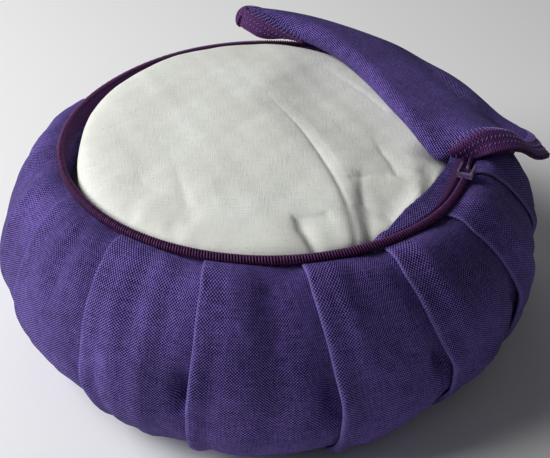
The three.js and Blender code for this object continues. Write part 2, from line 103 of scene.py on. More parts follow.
# Folds of the filling's cloth: places on the dome, strength where the fold begins, depth of the
# valley, its half width on the left and on the right, and the height of the ridge on its right
FOLDS = (
    (((-1.5, 35), (4.6, 21), (12.5, 5), (20.2, -11), (27.3, -29.9), (33.6, -48.2), (38.5, -63.3),
      (42.7, -78.5), (46.1, -93), (48.3, -106.8), (50, -124)), 0.1, 1.5, 1.9, 3.2, 0.5),
    (((57, -60), (56, -75), (56.5, -89.8), (57, -101.2), (58, -110.3), (60.5, -124)),
     0.3, 6.5, 6.0, 9.0, 0.0),
    (((50.8, -66), (57.2, -62.3), (63.5, -59.4), (72, -59)), 0.8, 1.2, 5.0, 3.0, 0.0),
    (((89, -62), (85.4, -72.8), (80.2, -83), (71, -97)), 0.6, 3.6, 7.0, 3.5, 0.6),
    (((67, -8), (68.4, -13.6), (71.9, -33), (75.9, -44.9), (79, -58)), 0.1, 1.5, 3.2, 7.0, 0.2),
    (((103.1, -31.9), (100.5, -47.6), (98.1, -61.7), (95, -78)), 0.3, 3.4, 2.6, 3.6, 1.0),
    (((84, -28), (91.8, -40.4), (93.5, -53.8), (93, -78)), 0.2, -1.6, 7.0, 3.4, 0.0),
    (((15, -111), (20.8, -108.9), (26.1, -106.8), (34, -103)), 1.0, 3.2, 3.4, 2.2, 0.0),
    (((15.6, -110.4), (19.4, -118.1), (22.1, -124.4), (24.9, -129), (29, -136)), 1.0, 4.6, 2.2, 8.0, 0.0),
    (((44.4, 82.1), (57.8, 63.7), (67.5, 48.9), (79.4, 24.3)), 0.5, 0.28, 2.0, 1.6, 0.2),
    (((-60, -50), (-55, -70), (-50, -88), (-45, -110)), 0.1, 2.0, 9.0, 7.0, 0.6),
    (((-82, -56), (-78, -70), (-72, -86)), 0.1, 1.2, 8.0, 8.0, 0.4),
    (((-86, -90), (-80, -104)), 0.2, 1.6, 3.6, 3.0, 0.5),
    (((-60, -106), (-53, -122)), 0.2, 1.5, 3.6, 3.0, 0.5),
)
# Soft hollows between the folds: place, depth and reach in millimetres
HOLLOWS = (
    (69, -79, 2.6, 13), (72, -99, 2.8, 17), (113, -28, 7.5, 12), (38, -121, 1.8, 8), (14, -92, 0.8, 22),
)
# Radius of the filling in the mouth, its height off the floor and how far it lies inside the band
MOUTH_RADIUS = 131.5
FILL_LOW = 1.45
FILL_INSET = 10
# Its shoulder as distances past the mouth and below the rim, and its rolled top edge as distances
# inwards and below the dome
FILL_SHOULDER = ((16, 36), (8, 31), (4, 25), (2, 18), (0.8, 13))
FILL_EDGE = ((0, 8), (0.5, 6.0), (1.4, 4.3), (3, 2.7), (5.5, 1.5), (9, 0.7), (14, 0.2), (20, 0))

# Folded top panel, each at its right end, middle and left end: roll radius, height of the lower
# layer, then the angles at which the upper layer falls
FOLD_ROLL = (4.2, 7.2, 8.6)
FOLD_REST = (152.0, 151.4, 154.6)
FALL_STEPS = (0, 30, 60, 95, 130, 170)
FALL_DEG = (
    (1, 3, 24, 40, 54, 78),
    (4, 14, 44, 57, 72, 88),
    (10, 38, 42, 54, 72, 90),
)
FOLD_DIR = math.radians(37.5)
FOLD_HALF = 124
PANEL_CLOTH = 135.5
# Free edge of the folded panel by its angle round the panel, in degrees: how far its strip bends
# down, in degrees, and how far the canvas is drawn out before it, in millimetres
EDGE_STRIP = (  # angle, bend, draw
    (38, 0, 0), (46, -20, 3.4), (52, -14, 6.8), (58, 16, 9.7), (64, 66, 12.2), (70, 78, 12.7),
    (76, 32, 10.5), (84, -6, 9.4), (92, 0, 6), (104, 15, 2), (120, 20, 0), (150, 10, 0), (226, 0, 0),
    (236, -4, 0), (246, 0, 0), (256, 20, 0), (264, 13, 0), (272, 23, 0), (280, 34, 0), (288, 60, 0),
    (296, 78, 0), (302, 82, 0),
)
# Rise and fall of the panel's end beside the slider: distance from the fold, reach and height
END_WAVE = ((2.4, 17.4, -12.0), (23.4, 20, 5.5), (72.4, 15, -8.8))
# Zip: width of its tape, how far the tape turns up past the rim, the slider's direction, then the
# thickness of the tape and of the threads in metres
TAPE_WIDE = 13
TURNED_UP = 4.2
SLIDER_DEG = -22
TAPE_THICK = 0.0008
PANEL_THREAD = 0.00026
BAND_THREAD = 0.00028
# Rows of stitches that hold the coil to the panel's tape: their two ends across the tape
SEWN_ROWS = ((-8.4, -6.8), (-3.9, -2.8))
# How far the overlocked edge on the band's zip shows inside the rim, by direction
STRIP_DEG = (-74, -66, -58, -53.5, -48, -42.5, -36.5, -28, -20.5, -12)
STRIP_WIDE = (17.5, 8.5, 8.5, 12.8, 16.5, 17.5, 17.2, 16.2, 14, 14)

# Where the filled body has settled fuller or flatter than round: direction in degrees, its width,
# height, reach and bulge in millimetres
BODY_SETTLE = (
    (146, 28, 120, 22, -11.0),
    (190, 22, 68, 24, 4.0),
    (-8, 16, 96, 24, 4.0),
    (-48, 15, 22, 20, -6.0),
    (-138, 16, 26, 20, -4.0),
)
# Slider's plates, post and flanges: place across, along the rim and up, then the three sizes
SLIDER_BOXES = (
    (0, 0, 0.55, 9.4, 11, 1.1),
    (0, 2.6, 2.6, 1.5, 3.4, 3.2),
    (0, -4.6, 2.4, 7.6, 1.8, 2.8),
    (4.15, 0, 2.9, 1.1, 11, 4.4),
    (-4.15, 0, 2.9, 1.1, 11, 4.4),
)
SLIDER_UP = 2.7
SLIDER_EDGE = 0.28

# Camera fitted to the photograph: the picture's size, focal length and optical centre in its pixels
PICTURE_WIDE, PICTURE_TALL = 550, 458
FOCAL, CENTRE_X, CENTRE_Y = 1061.75, 269.1, 220.35
SENSOR = 36
# Aim of the camera and lamps, then each lamp's place, size and share of the key light's power
AIM = (0, 0, 0.075)
LAMPS = (
    ("key", (-1.54, -0.13, 1.22), 1.4, 1),
    ("fill", (0.3, -1.2, 1.5), 1.2, 0.018),
    ("back", (-0.2, 1.2, 1.2), 0.9, 0.03),
)
SKY = (0.93, 0.95, 1.0, 1)
SKY_STRENGTH = 0.072


def length_setting(name, description, default):
    return bpy.props.FloatProperty(
        name=name, description=description, default=default, unit="LENGTH", precision=5)


def colour_setting(name, description, default):
    return bpy.props.FloatVectorProperty(
        name=name, description=description, default=default, subtype="COLOR", size=3, min=0, max=1)


class CoverSettings(bpy.types.PropertyGroup):
    """Sizes and colours of the canvas cover."""

    girth_radius: length_setting("Girth radius", "Cover's radius at its widest, under the pleats", 0.1755)
    girth_height: length_setting("Girth height", "Height of the widest part above the floor", 0.064)
    rim_radius: length_setting("Rim radius", "Radius of the cover's mouth", 0.1386)
    rim_height: length_setting("Rim height", "Height of the cover's mouth", 0.146)
    cloth: length_setting("Canvas thickness", "Thickness of the canvas", 0.0009)
    weave: length_setting("Weave repeat", "One repeat of the plain weave, two yarns wide", 0.0020)
    dark: colour_setting("Canvas, low", "Canvas colour between the yarns", (0.006, 0.0022, 0.024))
    light: colour_setting("Canvas, high", "Canvas colour on top of the yarns", (0.212, 0.140, 0.53))
    # Painted highlight: a lighter lilac laid along the pleats' folded edges, where they catch the light
    fold_highlight: colour_setting("Canvas, worn", "Canvas colour along rubbed folds", (0.20, 0.15, 0.45))


class FillSettings(bpy.types.PropertyGroup):
    """Shape and colours of the filled inner cushion."""

    crown: length_setting("Crown", "How far the filling domes above the rim", 0.011)
    weave: length_setting("Calico weave", "One repeat of the calico's weave, two yarns wide", 0.00125)
    calico: colour_setting("Calico", "Unbleached calico", (0.86, 0.875, 0.82))
    fleck: colour_setting("Flecks", "Seed flecks in the calico", (0.30, 0.27, 0.21))


class ZipSettings(bpy.types.PropertyGroup):
    """Sizes and colours of the coil zip."""

    pitch: length_setting("Coil pitch", "Distance between neighbouring turns", 0.00172)
    wire: length_setting("Coil wire", "Thickness of the coil's wire", 0.0011)
    stitch: length_setting("Overlock spacing", "Distance between overlock loops", 0.0033)
    tape: colour_setting("Tape", "Woven zip tape", (0.070, 0.018, 0.096))
    coil: colour_setting("Coil", "Plastic coil", (0.058, 0.014, 0.062))
    thread: colour_setting("Thread", "Overlock thread", (0.22, 0.15, 0.42))


class StageSettings(bpy.types.PropertyGroup):
    """Camera, floor and lights."""

    distance: length_setting("Camera distance", "From the camera to the aim point", 0.750)
    elevation: bpy.props.FloatProperty(
        name="Camera elevation", description="Angle above the horizon", default=math.radians(35.4),
        subtype="ANGLE")
    floor: colour_setting("Floor", "Floor colour", (0.90, 0.90, 0.90))
    key: bpy.props.FloatProperty(
        name="Key light", description="Power of the soft key light", default=49.0, unit="POWER")


def settings(name):
    return getattr(bpy.context.scene, name)


def ease(a, b, v):
    t = np.clip((np.asarray(v, float) - a) / (b - a), 0, 1)
    return t * t * (3 - 2 * t)


def turn_between(a, b):
    """Angle from b to a in degrees, between -180 and 180."""
    return (np.asarray(a, float) - b + 540) % 360 - 180


def bell(x):
    return np.exp(-np.square(x))


def run_of(line):
    return np.concatenate([[0], np.cumsum(np.linalg.norm(np.diff(line, axis=0), axis=1))])


def unit(v):
    return v / np.linalg.norm(v, axis=-1, keepdims=True)


def on_line(where, run, line):
    """Places on a line of points, or directions there, at distances measured as in run."""
    return np.stack([np.interp(where, run, line[:, i]) for i in range(3)], -1)


def flat_map(x, y):
    """Flat cloth coordinates in metres from ones in millimetres."""
    return np.stack(np.broadcast_arrays(x * MM, y * MM), -1)


def soft_waves(x, y, z, size, seed, count=7):
    """Smooth uneven waves between about -1 and 1, of one size in millimetres and always the same."""
    pick = np.random.default_rng(seed)
    total = 0
    for _ in range(count):
        way = pick.normal(size=3)
        way *= 2 * math.pi / (size * pick.uniform(0.7, 1.5) * np.linalg.norm(way))
        total = total + np.sin(way[0] * x + way[1] * y + way[2] * z + pick.uniform(0, 6.3))
    return total / math.sqrt(count * 1.2)


def side_of(line, x, y):
    """Distance from a bent line, positive to its left going along it, how far along it that is, and a
    strength that is 1 beside the line and fades past its ends."""
    best = np.full(np.shape(x), 1e9)
    side = np.ones(np.shape(x))
    share = np.zeros(np.shape(x))
    steps = np.hypot(*np.diff(np.array(line, float), axis=0).T)
    so_far = 0.0
    for ((x0, y0), (x1, y1)), step in zip(zip(line[:-1], line[1:]), steps):
        dx, dy = x1 - x0, y1 - y0
        t = np.clip(((x - x0) * dx + (y - y0) * dy) / step ** 2, 0, 1)
        far = np.hypot(x - x0 - dx * t, y - y0 - dy * t)
        nearer = far < best
        best = np.where(nearer, far, best)
        side = np.where(nearer, np.sign(dx * (y - y0) - dy * (x - x0)), side)
        share = np.where(nearer, (so_far + t * step) / steps.sum(), share)
        so_far += step
    over = np.zeros(np.shape(x))
    for (x0, y0), (x1, y1) in (line[:2], line[:-3:-1]):
        ahead = ((x - x0) * (x1 - x0) + (y - y0) * (y1 - y0)) / math.hypot(x1 - x0, y1 - y0)
        over = np.maximum(over, -ahead)
    return best * side, share, bell(over / 6)


class CoverForm:
    """The cover's surfaces in millimetres, from the cover's own sizes."""

    # Roundness of the band above and below its girth, and where the base seam lies
    upper, lower = 1.85, 2.5
    base_radius, low = 114, 4.2
    # The mouth sits forward, more and more from this height up, and is drawn in beside the slider
    rim_forward, forward_from = 4.5, 60
    drawn_in, drawn_deg, drawn_width = 4, -20, 16
    # Middle and reach of the filling's dome, and how far its edge stands above the rim
    dome_x, dome_y, dome_reach, dome_up = -22, 8, 158, 3
    # The folded panel presses the dome down between these places, further back at the rear
    press_from, press_to, press_back, back_reach, pressed_to = -15, 96, 80, 100, -0.5
    # A crease: how sharp it is, how soft its bottom, where it is full, and its ridge's place and fade
    crease_sharp, crease_soft, crease_full = 1.25, 0.02, 0.6
    ridge_off, ridge_fade = 2.6, 3.5

    def __init__(self):
        cover = settings("cushion_cover")
        self.girth = cover.girth_radius / MM
        self.girth_z = cover.girth_height / MM
        self.rim = cover.rim_radius / MM
        self.rim_z = cover.rim_height / MM
        self.cloth = cover.cloth / MM

    def side(self, along):
        """Radius and height of the band's middle surface, before its pleats."""
        a = np.clip(along, 0, 1) * math.pi / 2
        b = np.clip(np.asarray(along) - 1, 0, 1) * math.pi / 2
        top_r = self.rim + (self.girth - self.rim) * np.sin(a) ** (2 / self.upper)
        top_z = self.girth_z + (self.rim_z - self.girth_z) * np.clip(np.cos(a), 0, 1) ** (2 / self.upper)
        bulge = np.clip(np.cos(b), 0, 1) ** (2 / self.lower)
        low_r = self.base_radius + (self.girth - self.base_radius) * bulge
        low_z = self.girth_z - (self.girth_z - self.low) * np.sin(b) ** (2 / self.lower)
        high = np.asarray(along) <= 1
        return np.where(high, top_r, low_r), np.where(high, top_z, low_z)

    def side_out(self, along):
        """Direction that faces out of the band, as radius and height."""
        step = 0.012
        r0, z0 = self.side(np.maximum(0, np.asarray(along) - step))
        r1, z1 = self.side(np.minimum(1.99, np.asarray(along) + step))
        size = np.hypot(r1 - r0, z1 - z0)
        return -(z1 - z0) / size, (r1 - r0) / size

    def place(self, theta, r, z):
        """Point of the cover: its mouth sits a little forward and is drawn in beside the slider."""
        deg = np.degrees(theta)
        high = ease(self.forward_from, self.rim_z, z)
        radius = r - self.drawn_in * high * bell(turn_between(deg, self.drawn_deg) / self.drawn_width)
        for at, width, height, reach, bulge in BODY_SETTLE:
            radius = radius + bulge * bell(turn_between(deg, at) / width) * bell((z - height) / reach)
        return np.stack(np.broadcast_arrays(
            radius * np.cos(theta), radius * np.sin(theta) - self.rim_forward * high, z), -1)

    def rim_place(self, theta, r, z):
        """Point that follows the rim's own outline at another height."""
        ring = self.place(theta, r, self.rim_z)
        ring[..., 2] = z
        return ring

    def crown(self, x, y):
        """Height of the filling's top: a low dome, pressed where the folded panel lies, and creased."""
        c, s = math.cos(FOLD_DIR), math.sin(FOLD_DIR)
        far = np.hypot(x - self.dome_x, y - self.dome_y) / self.dome_reach
        dome = settings("cushion_fill").crown / MM * np.maximum(0, 1 - far * far)
        back = self.press_back * ease(0, self.back_reach, y * c - x * s)
        pressed = ease(self.press_from, self.press_to, x * c + y * s - back)
        z = self.rim_z + self.dome_up + dome + (np.minimum(dome, self.pressed_to) - dome) * pressed
        for x0, y0, deep, reach in HOLLOWS:
            z = z - deep * bell(np.hypot(x - x0, y - y0) / reach)
        for line, begin, deep, left, right, ridge in FOLDS:
            off, share, near = side_of(line, x, y)
            grow = near * (begin + (1 - begin) * ease(0, self.crease_full, share))
            wide = np.where(off < 0, left, right)
            dip = np.sqrt(np.square(off / wide) + self.crease_soft)
            z = z - grow * deep * np.exp(-self.crease_sharp * dip)
            crest = np.maximum(off, 0) / (self.ridge_off * right)
            rise = np.minimum(1, crest) ** 2 * np.exp(-np.maximum(0, crest - 1) / self.ridge_fade)
            z = z + grow * ridge * rise
        return z


class PanelForm:
    """The folded top panel in millimetres: u runs along the fold, b across it."""

    # How far the fold lies from the middle at its ends, how far it bows out and how far it skews
    fold_at, fold_bow, fold_skew = 65, 24, 30
    # Along the fold the cloth is drawn together and lies a little to the left
    drawn, shift = 0.946, 7.3
    # Hanging cloth is slightly shorter, and stays clear of the band by this height and radius, softly
    hung, clear_up, clear_out, clear_soft = 0.955, 7, 10, 5
    # Towards the right end the hanging cloth swings to the left, between these distances past the fold
    swing, swing_from, swing_to, swing_right_of = 40, 78, 150, -30
    # The right end waves and droops more and more between these places along the fold, and the droop
    # also grows between these distances past it
    wave_span, droop, droop_span, droop_past = (-60, -122), 8, (-100, -142), (70, 100)
    # Width of the strip along the free edge, and the length over which it bends
    strip, strip_bend = 15, 7
    # Angles round the panel between which the strip starts to bend, and stops again
    strip_spans = ((214, 236, 300, 316), (40, 52, 110, 150))
    # How far inside the strip the canvas begins to be drawn out
    draw_reach = 55
    # Radius of the seam that holds the lower layer to the rim, and the shares of the fold over which
    # it gives way to the panel's own edge, on the left and on the right
    seam_radius, seam_left, seam_right = 136.4, (0.32, 0.52), (-0.7, -1)
    # Step over which directions on the cloth are measured
    step = 1.5

    def __init__(self, cover):
        self.cover = cover

    def front(self, u):
        s = u / FOLD_HALF
        return self.fold_at + self.fold_bow * (1 - s * s) + self.fold_skew * s * (1 - s * s)

    def aside(self, u):
        """How far a place lies along the fold's direction once the cloth is drawn together."""
        return self.shift + self.drawn * u

    def section(self, u, column):
        s = np.clip(u / FOLD_HALF, -1, 1)
        right, middle, left = column
        return np.where(
            s < 0,
            right + (middle - right) * ease(-1, 0, s),
            middle + (left - middle) * ease(0, 1, s),
        )

    def clear(self, z):
        """Radius at which hanging cloth is clear of the band."""
        c = self.cover
        high = np.maximum(0, (z - self.clear_up - c.girth_z) / (c.rim_z - c.girth_z))
        bulge = np.clip(1 - high ** c.upper, 0, 1) ** (1 / c.upper)
        radius = c.rim + (c.girth - c.rim) * bulge + self.clear_out * np.clip(1 - high ** 4, 0, 1)
        return radius * ease(1.09, 1.0, high)

    def fall(self, u, length):
        """How far out and down the upper layer has come, that far past the fold's top."""
        out = np.zeros_like(length)
        down = np.zeros_like(length)
        angles = [np.radians(self.section(u, column)) for column in zip(*FALL_DEG)]
        for k in range(len(FALL_STEPS) - 1):
            span = FALL_STEPS[k + 1] - FALL_STEPS[k]
            part = np.clip(length - FALL_STEPS[k], 0, span)
            bend = (angles[k + 1] - angles[k]) * part / span
            chord = part * np.sinc(bend / 2 / math.pi)
            out += chord * np.cos(angles[k] + bend / 2)
            down += chord * np.sin(angles[k] + bend / 2)
        tail = np.maximum(0, length - FALL_STEPS[-1])
        return out + tail * np.cos(angles[-1]), down + tail * np.sin(angles[-1])

    def point(self, u, b):
        u, b = np.broadcast_arrays(np.asarray(u, float), np.asarray(b, float))
        roll = self.section(u, FOLD_ROLL)
        quarter = roll * math.pi / 2
        turn = np.minimum(np.abs(b), quarter) / roll
        n = self.front(u) + roll * (1 - np.cos(turn))
        z = self.section(u, FOLD_REST) + roll + np.sign(b) * roll * np.sin(turn)
        swung = ease(self.swing_from, self.swing_to, b) * ease(self.swing_right_of, -FOLD_HALF, u)
        a = self.aside(u) + self.swing * swung
        out, down = self.fall(u, np.maximum(0, b - quarter) * self.hung)
        over = b > quarter
        hung_n, hung_z = n + out, z - down
        clear = np.sqrt(np.maximum(0, self.clear(hung_z) ** 2 - a * a))
        hung_n = (hung_n + clear + np.hypot(hung_n - clear, self.clear_soft)) / 2
        n = np.where(over, hung_n, n)
        z = np.where(over, hung_z, z)
        n = np.where(b < -quarter, n - b - quarter, n)
        z = z + self.end_wave(u, b)
        c, s = math.cos(FOLD_DIR), math.sin(FOLD_DIR)
        return np.stack([n * c - a * s, n * s + a * c, z], -1)

    def end_wave(self, u, b):
        """Rise and fall of the end that lies beside the slider."""
        rise = sum(high * bell((b - at) / wide) for at, wide, high in END_WAVE)
        fall = self.droop * ease(*self.droop_span, u) * ease(*self.droop_past, b)
        return ease(*self.wave_span, u) * rise - fall

    def facing(self, u, b):
        along = self.point(u + self.step, b) - self.point(u - self.step, b)
        across = self.point(u, b + self.step) - self.point(u, b - self.step)
        return unit(np.cross(across, along))

    def lifted(self, u, b, lift):
        """Point raised off the panel towards its inside face, which lies uppermost.

        Beside the slider the panel's edge strip bends down over the rim.
        """
        u, b, lift = np.broadcast_arrays(*(np.asarray(v, float) for v in (u, b, lift)))
        ahead = self.front(u) - b
        psi = np.degrees(np.arctan2(u, ahead)) % 360
        angle, bends, draws = np.array(EDGE_STRIP, float).T
        draw = np.interp(psi, angle, draws)
        hinge = PANEL_CLOTH - self.strip
        far = np.hypot(u, ahead)
        flat = self.polar(psi, far + draw * ease(hinge - self.draw_reach, hinge, far))
        plain = self.point(*flat) + self.facing(*flat) * lift[..., None]
        part = sum(ease(a, b, psi) * ease(d, c, psi) for a, b, c, d in self.strip_spans)
        past = np.maximum(0, far - hinge)
        spot = [self.polar(psi, hinge + draw + step) for step in (-self.step / 2, 0, self.step / 2)]
        places = [self.point(*where) for where in spot]
        outward = unit(places[2] - places[0])
        up = self.facing(*spot[1])
        bend = np.radians(np.interp(psi, angle, bends))
        curve = np.maximum(bend, 1e-4) / self.strip_bend
        arc = np.minimum(past, self.strip_bend)
        straight = past - arc
        turned = curve * arc
        go = np.sin(turned) / curve + straight * np.cos(bend) + lift * np.sin(turned)
        drop = (1 - np.cos(turned)) / curve + straight * np.sin(bend) - lift * np.cos(turned)
        bent = places[1] + outward * go[..., None] - up * drop[..., None]
        mix = (part * (past > 0))[..., None]
        return plain + (bent - plain) * mix

    def polar(self, psi, r):
        u = r * np.sin(np.radians(psi))
        return u, self.front(u) - r * np.cos(np.radians(psi))

    def start(self, u):
        """Where the lower layer ends: the seam on the rim, or the panel's own edge past the seam."""
        edge = self.front(u) - np.sqrt(PANEL_CLOTH ** 2 - u * u)
        roll = self.section(u, FOLD_ROLL)
        forward = self.cover.rim_forward
        mid_n, mid_a = -forward * math.sin(FOLD_DIR), -forward * math.cos(FOLD_DIR)
        across = np.sqrt(np.maximum(0, self.seam_radius ** 2 - (self.aside(u) - mid_a) ** 2))
        reach = mid_n + across - self.front(u) - roll
        seam = -(np.maximum(0, reach) + roll * math.pi / 2)
        s = u / FOLD_HALF
        return seam + (edge - seam) * np.where(s > 0, ease(*self.seam_left, s), ease(*self.seam_right, s))

    def rim(self, psi, out, lift):
        """Point on the panel's round edge: angle round it, distance past the cloth's edge, lift."""
        return self.lifted(*self.polar(np.degrees(psi), PANEL_CLOTH + np.asarray(out, float)), lift)


class Socket:
    """Output of a node, with arithmetic that adds Math nodes."""

    def __init__(self, finish, out):
        self.finish = finish
        self.out = out

    def _math(self, operation, first, second=None):
        values = {0: first} if second is None else {0: first, 1: second}
        return self.finish.node("ShaderNodeMath", {"operation": operation}, values)

    def __add__(self, other):
        return self._math("ADD", self, other)

    def __radd__(self, other):
        return self._math("ADD", other, self)

    def __sub__(self, other):
        return self._math("SUBTRACT", self, other)

    def __rsub__(self, other):
        return self._math("SUBTRACT", other, self)

    def __mul__(self, other):
        return self._math("MULTIPLY", self, other)

    def __rmul__(self, other):
        return self._math("MULTIPLY", other, self)

    def __abs__(self):
        return self._math("ABSOLUTE", self)

    def sine(self):
        return self._math("SINE", self)


class Finish:
    """One material and the nodes that make it."""

    def __init__(self, name, constants):
        self.material = bpy.data.materials.new(name)
        self.material.use_nodes = True
        self.tree = self.material.node_tree
        self.shader = next(n for n in self.tree.nodes if n.type == "BSDF_PRINCIPLED")
        for socket, value in constants.items():
            self.feed(self.shader.inputs[socket], value)

    def node(self, kind, options=None, values=None, output=0):
        """Adds a node: its settings first, then the values or links of its sockets."""
        node = self.tree.nodes.new(kind)
        for key, value in (options or {}).items():
            setattr(node, key, value)
        for key, value in (values or {}).items():
            self.feed(node.inputs[key], value)
        return Socket(self, node.outputs[output])

    def feed(self, socket, value):
        if isinstance(value, Socket):
            self.tree.links.new(value.out, socket)
        elif socket.type == "RGBA" and len(value) == 3:
            socket.default_value = (*value, 1)
        else:
            socket.default_value = value

    def split(self, vector):
        first = self.node("ShaderNodeSeparateXYZ", None, {0: vector})
        return [Socket(self, out) for out in first.out.node.outputs]

    def cloth_map(self):
        """Flat cloth coordinates in metres, from the piece's own UV map."""
        return self.node("ShaderNodeUVMap", {"uv_map": "cloth"})

    def object_map(self):
        return self.node("ShaderNodeTexCoord", output="Object")

    def noise(self, vector, scale, detail=2.0, rough=0.5):
        return self.node("ShaderNodeTexNoise", None, {
            "Vector": vector, "Scale": scale, "Detail": detail, "Roughness": rough})

    def scaled(self, vector, scale):
        return self.node("ShaderNodeMapping", None, {"Vector": vector, "Scale": scale})

    def range(self, value, low, high, to_low=0.0, to_high=1.0):
        return self.node("ShaderNodeMapRange", None, {
            "Value": value, "From Min": low, "From Max": high, "To Min": to_low, "To Max": to_high})

    def mix(self, share, first, second):
        return self.node("ShaderNodeMix", {"data_type": "RGBA"}, {0: share, 6: first, 7: second}, 2)

    def bump(self, height, distance, strength):
        return self.node("ShaderNodeBump", None, {
            "Height": height, "Distance": distance, "Strength": strength})

    def weave(self, flat, repeat, slubs, wander, relief, lumps):
        """Height of a plain weave: its repeat, the scale of its slubs along, across and into the cloth,
        how far they push the yarns, then the relief of the yarns and of the slubs."""
        long, fine, deep = slubs
        slub = self.noise(self.scaled(flat, (fine, long, deep)), 1.0) - 0.5
        slub_across = self.noise(self.scaled(flat, (long, fine, deep)), 1.0) - 0.5
        x, y, _ = self.split(flat)
        turns = 2 * math.pi / repeat
        warp = (x * turns + slub * wander).sine()
        weft = (y * turns + slub_across * wander).sine()
        return 0.5 + relief * (warp * weft) + slub * lumps + slub_across * lumps

    def end(self, links):
        for socket, value in links.items():
            self.feed(self.shader.inputs[socket], value)
        return self.material


def tinted(colour, share):
    return tuple(min(1, c * share) for c in colour)


def canvas_finish():
    """Purple cotton canvas in plain weave, by the cloth's own map."""
    cover = settings("cushion_cover")
    f = Finish("purple_canvas", {
        "Sheen Weight": 0.05, "Sheen Roughness": 0.5, "Sheen Tint": (0.55, 0.48, 0.85),
        "Specular IOR Level": 0.12})
    flat = f.cloth_map()
    height = f.weave(flat, cover.weave, slubs=(90, 900, 1), wander=1.4, relief=0.42, lumps=0.35)
    fade = f.noise(f.scaled(flat, (9, 9, 9)), 1.0, 4.0, 0.6)
    patch = f.range(fade, 0.3, 0.7, -0.10, 0.12)
    colour = f.mix(f.range(height + patch, 0.45, 0.70), tuple(cover.dark), tuple(cover.light))
    # Painted highlight along the folded edges: the lighter colour is mixed in where the sheet's attribute
    # marks them
    fold_highlight = f.node("ShaderNodeAttribute", {"attribute_name": "fold_highlight"}, output="Fac")
    colour = f.mix(fold_highlight * f.range(height, 0.2, 0.7, 0.5, 0.9), colour, tuple(cover.fold_highlight))
    rough = f.range(height, 0, 1, 0.92, 0.78)
    return f.end({"Base Color": colour, "Roughness": rough, "Normal": f.bump(height, 0.0005, 0.9)})


def calico_finish():
    """Unbleached calico with a fine weave and seed flecks."""
    fill = settings("cushion_fill")
    f = Finish("calico", {"Sheen Weight": 0.12, "Sheen Roughness": 0.5, "Specular IOR Level": 0.2})
    place = f.object_map()
    height = f.weave(place, fill.weave, slubs=(110, 1500, 300), wander=2.0, relief=0.36, lumps=0.7)
    blotch = f.range(f.noise(place, 26, 3.0), 0.3, 0.7)
    base = tuple(fill.calico)
    shade = tuple(c * k for c, k in zip(base, (0.90, 0.89, 0.87)))
    colour = f.mix(blotch, shade, base)
    colour = f.mix(f.range(height, 0.1, 0.6, 0.55, 0.0), colour, tinted(base, 0.6))
    seeds = f.range(f.noise(f.scaled(place, (620, 620, 620)), 1.0, 1.0), 0.72, 0.78, 0.0, 0.5)
    colour = f.mix(seeds, colour, tuple(fill.fleck))
    rough = f.range(height, 0, 1, 0.95, 0.86)
    return f.end({"Base Color": colour, "Roughness": rough, "Normal": f.bump(height, 0.0003, 0.8)})


def tape_finish():
    """Woven zip tape: fine cross ribs in a herringbone."""
    tape = tuple(settings("cushion_zip").tape)
    rib_pitch, chevron_wide, chevron_deep = 0.0017, 0.0052, 0.0010
    f = Finish("zip_tape", {"Sheen Weight": 0.04, "Sheen Roughness": 0.4, "Specular IOR Level": 0.25})
    flat = f.cloth_map()
    x, y, _ = f.split(flat)
    chevron = abs((y * (2 * math.pi / chevron_wide)).sine())
    height = 0.5 + 0.5 * ((x + chevron * chevron_deep) * (2 * math.pi / rib_pitch)).sine()
    lint = f.noise(f.scaled(flat, (500, 500, 1)), 1.0, 3.0)
    light = f.range(height + (lint - 0.5) * 0.6, 0.0, 1.0)
    colour = f.mix(light, tinted(tape, 0.30), tinted(tape, 2.1))
    rough = f.range(lint, 0.3, 0.7, 0.7, 0.85)
    return f.end({"Base Color": colour, "Roughness": rough, "Normal": f.bump(height, 0.0003, 0.9)})


def speckled_finish(name, constants, specks, spread, colours, rough):
    """Finish with fine specks: their noise settings, the part of it that runs from the first colour to
    the second, and the roughness at either end."""
    f = Finish(name, constants)
    speck = f.noise(f.object_map(), *specks)
    colour = f.mix(f.range(speck, *spread), *colours)
    return f.end({"Base Color": colour, "Roughness": f.range(speck, 0.3, 0.7, *rough)})


def coil_finish():
    """Moulded plastic coil, slightly glossy and scuffed."""
    coil = tuple(settings("cushion_zip").coil)
    return speckled_finish("zip_coil", {"Specular IOR Level": 0.22}, (700, 3.0), (0.35, 0.7),
                           (coil, tinted(coil, 1.9)), (0.36, 0.52))


def thread_finish():
    """Spun overlock thread."""
    thread = tuple(settings("cushion_zip").thread)
    return speckled_finish("overlock_thread", {"Sheen Weight": 0.1, "Specular IOR Level": 0.25},
                           (1400, 2.0), (0.3, 0.7), (tinted(thread, 0.6), tinted(thread, 1.25)), (0.75, 0.9))


def paint_finish():
    """Slider's purple paint, scuffed."""
    return speckled_finish("slider_paint", {"Specular IOR Level": 0.5}, (900, 4.0, 0.6), (0.4, 0.75),
                           ((0.10, 0.045, 0.17), (0.19, 0.11, 0.30)), (0.3, 0.5))


def bare_metal_finish():
    """Slider's edges, scuffed through to grey metal."""
    return speckled_finish("slider_bare_edge", {"Metallic": 0.9}, (1200, 3.0), (0.3, 0.7),
                           ((0.30, 0.29, 0.33), (0.62, 0.61, 0.65)), (0.3, 0.5))


def finish(name):
    """A finish of this object, made when it is first asked for."""
    makers = {
        "purple_canvas": canvas_finish,
        "calico": calico_finish,
        "zip_tape": tape_finish,
        "zip_coil": coil_finish,
        "overlock_thread": thread_finish,
        "slider_paint": paint_finish,
        "slider_bare_edge": bare_metal_finish,
    }
    return bpy.data.materials.get(name) or makers[name]()


def add_piece(name, mesh, materials, stands_for=()):
    """Puts a finished mesh in the scene as a piece that moves with the cushion."""
    piece = bpy.data.objects.new(name, mesh)
    bpy.context.scene.collection.objects.link(piece)
    for material in materials:
        mesh.materials.append(finish(material))
    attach(piece, "root")
    if stands_for:
        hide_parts(*stands_for)
    return piece


def mesh_from(bm, name):
    """Turns a finished bmesh into a mesh and frees it."""
    mesh = bpy.data.meshes.new(name)
    bm.to_mesh(mesh)
    bm.free()
    return mesh


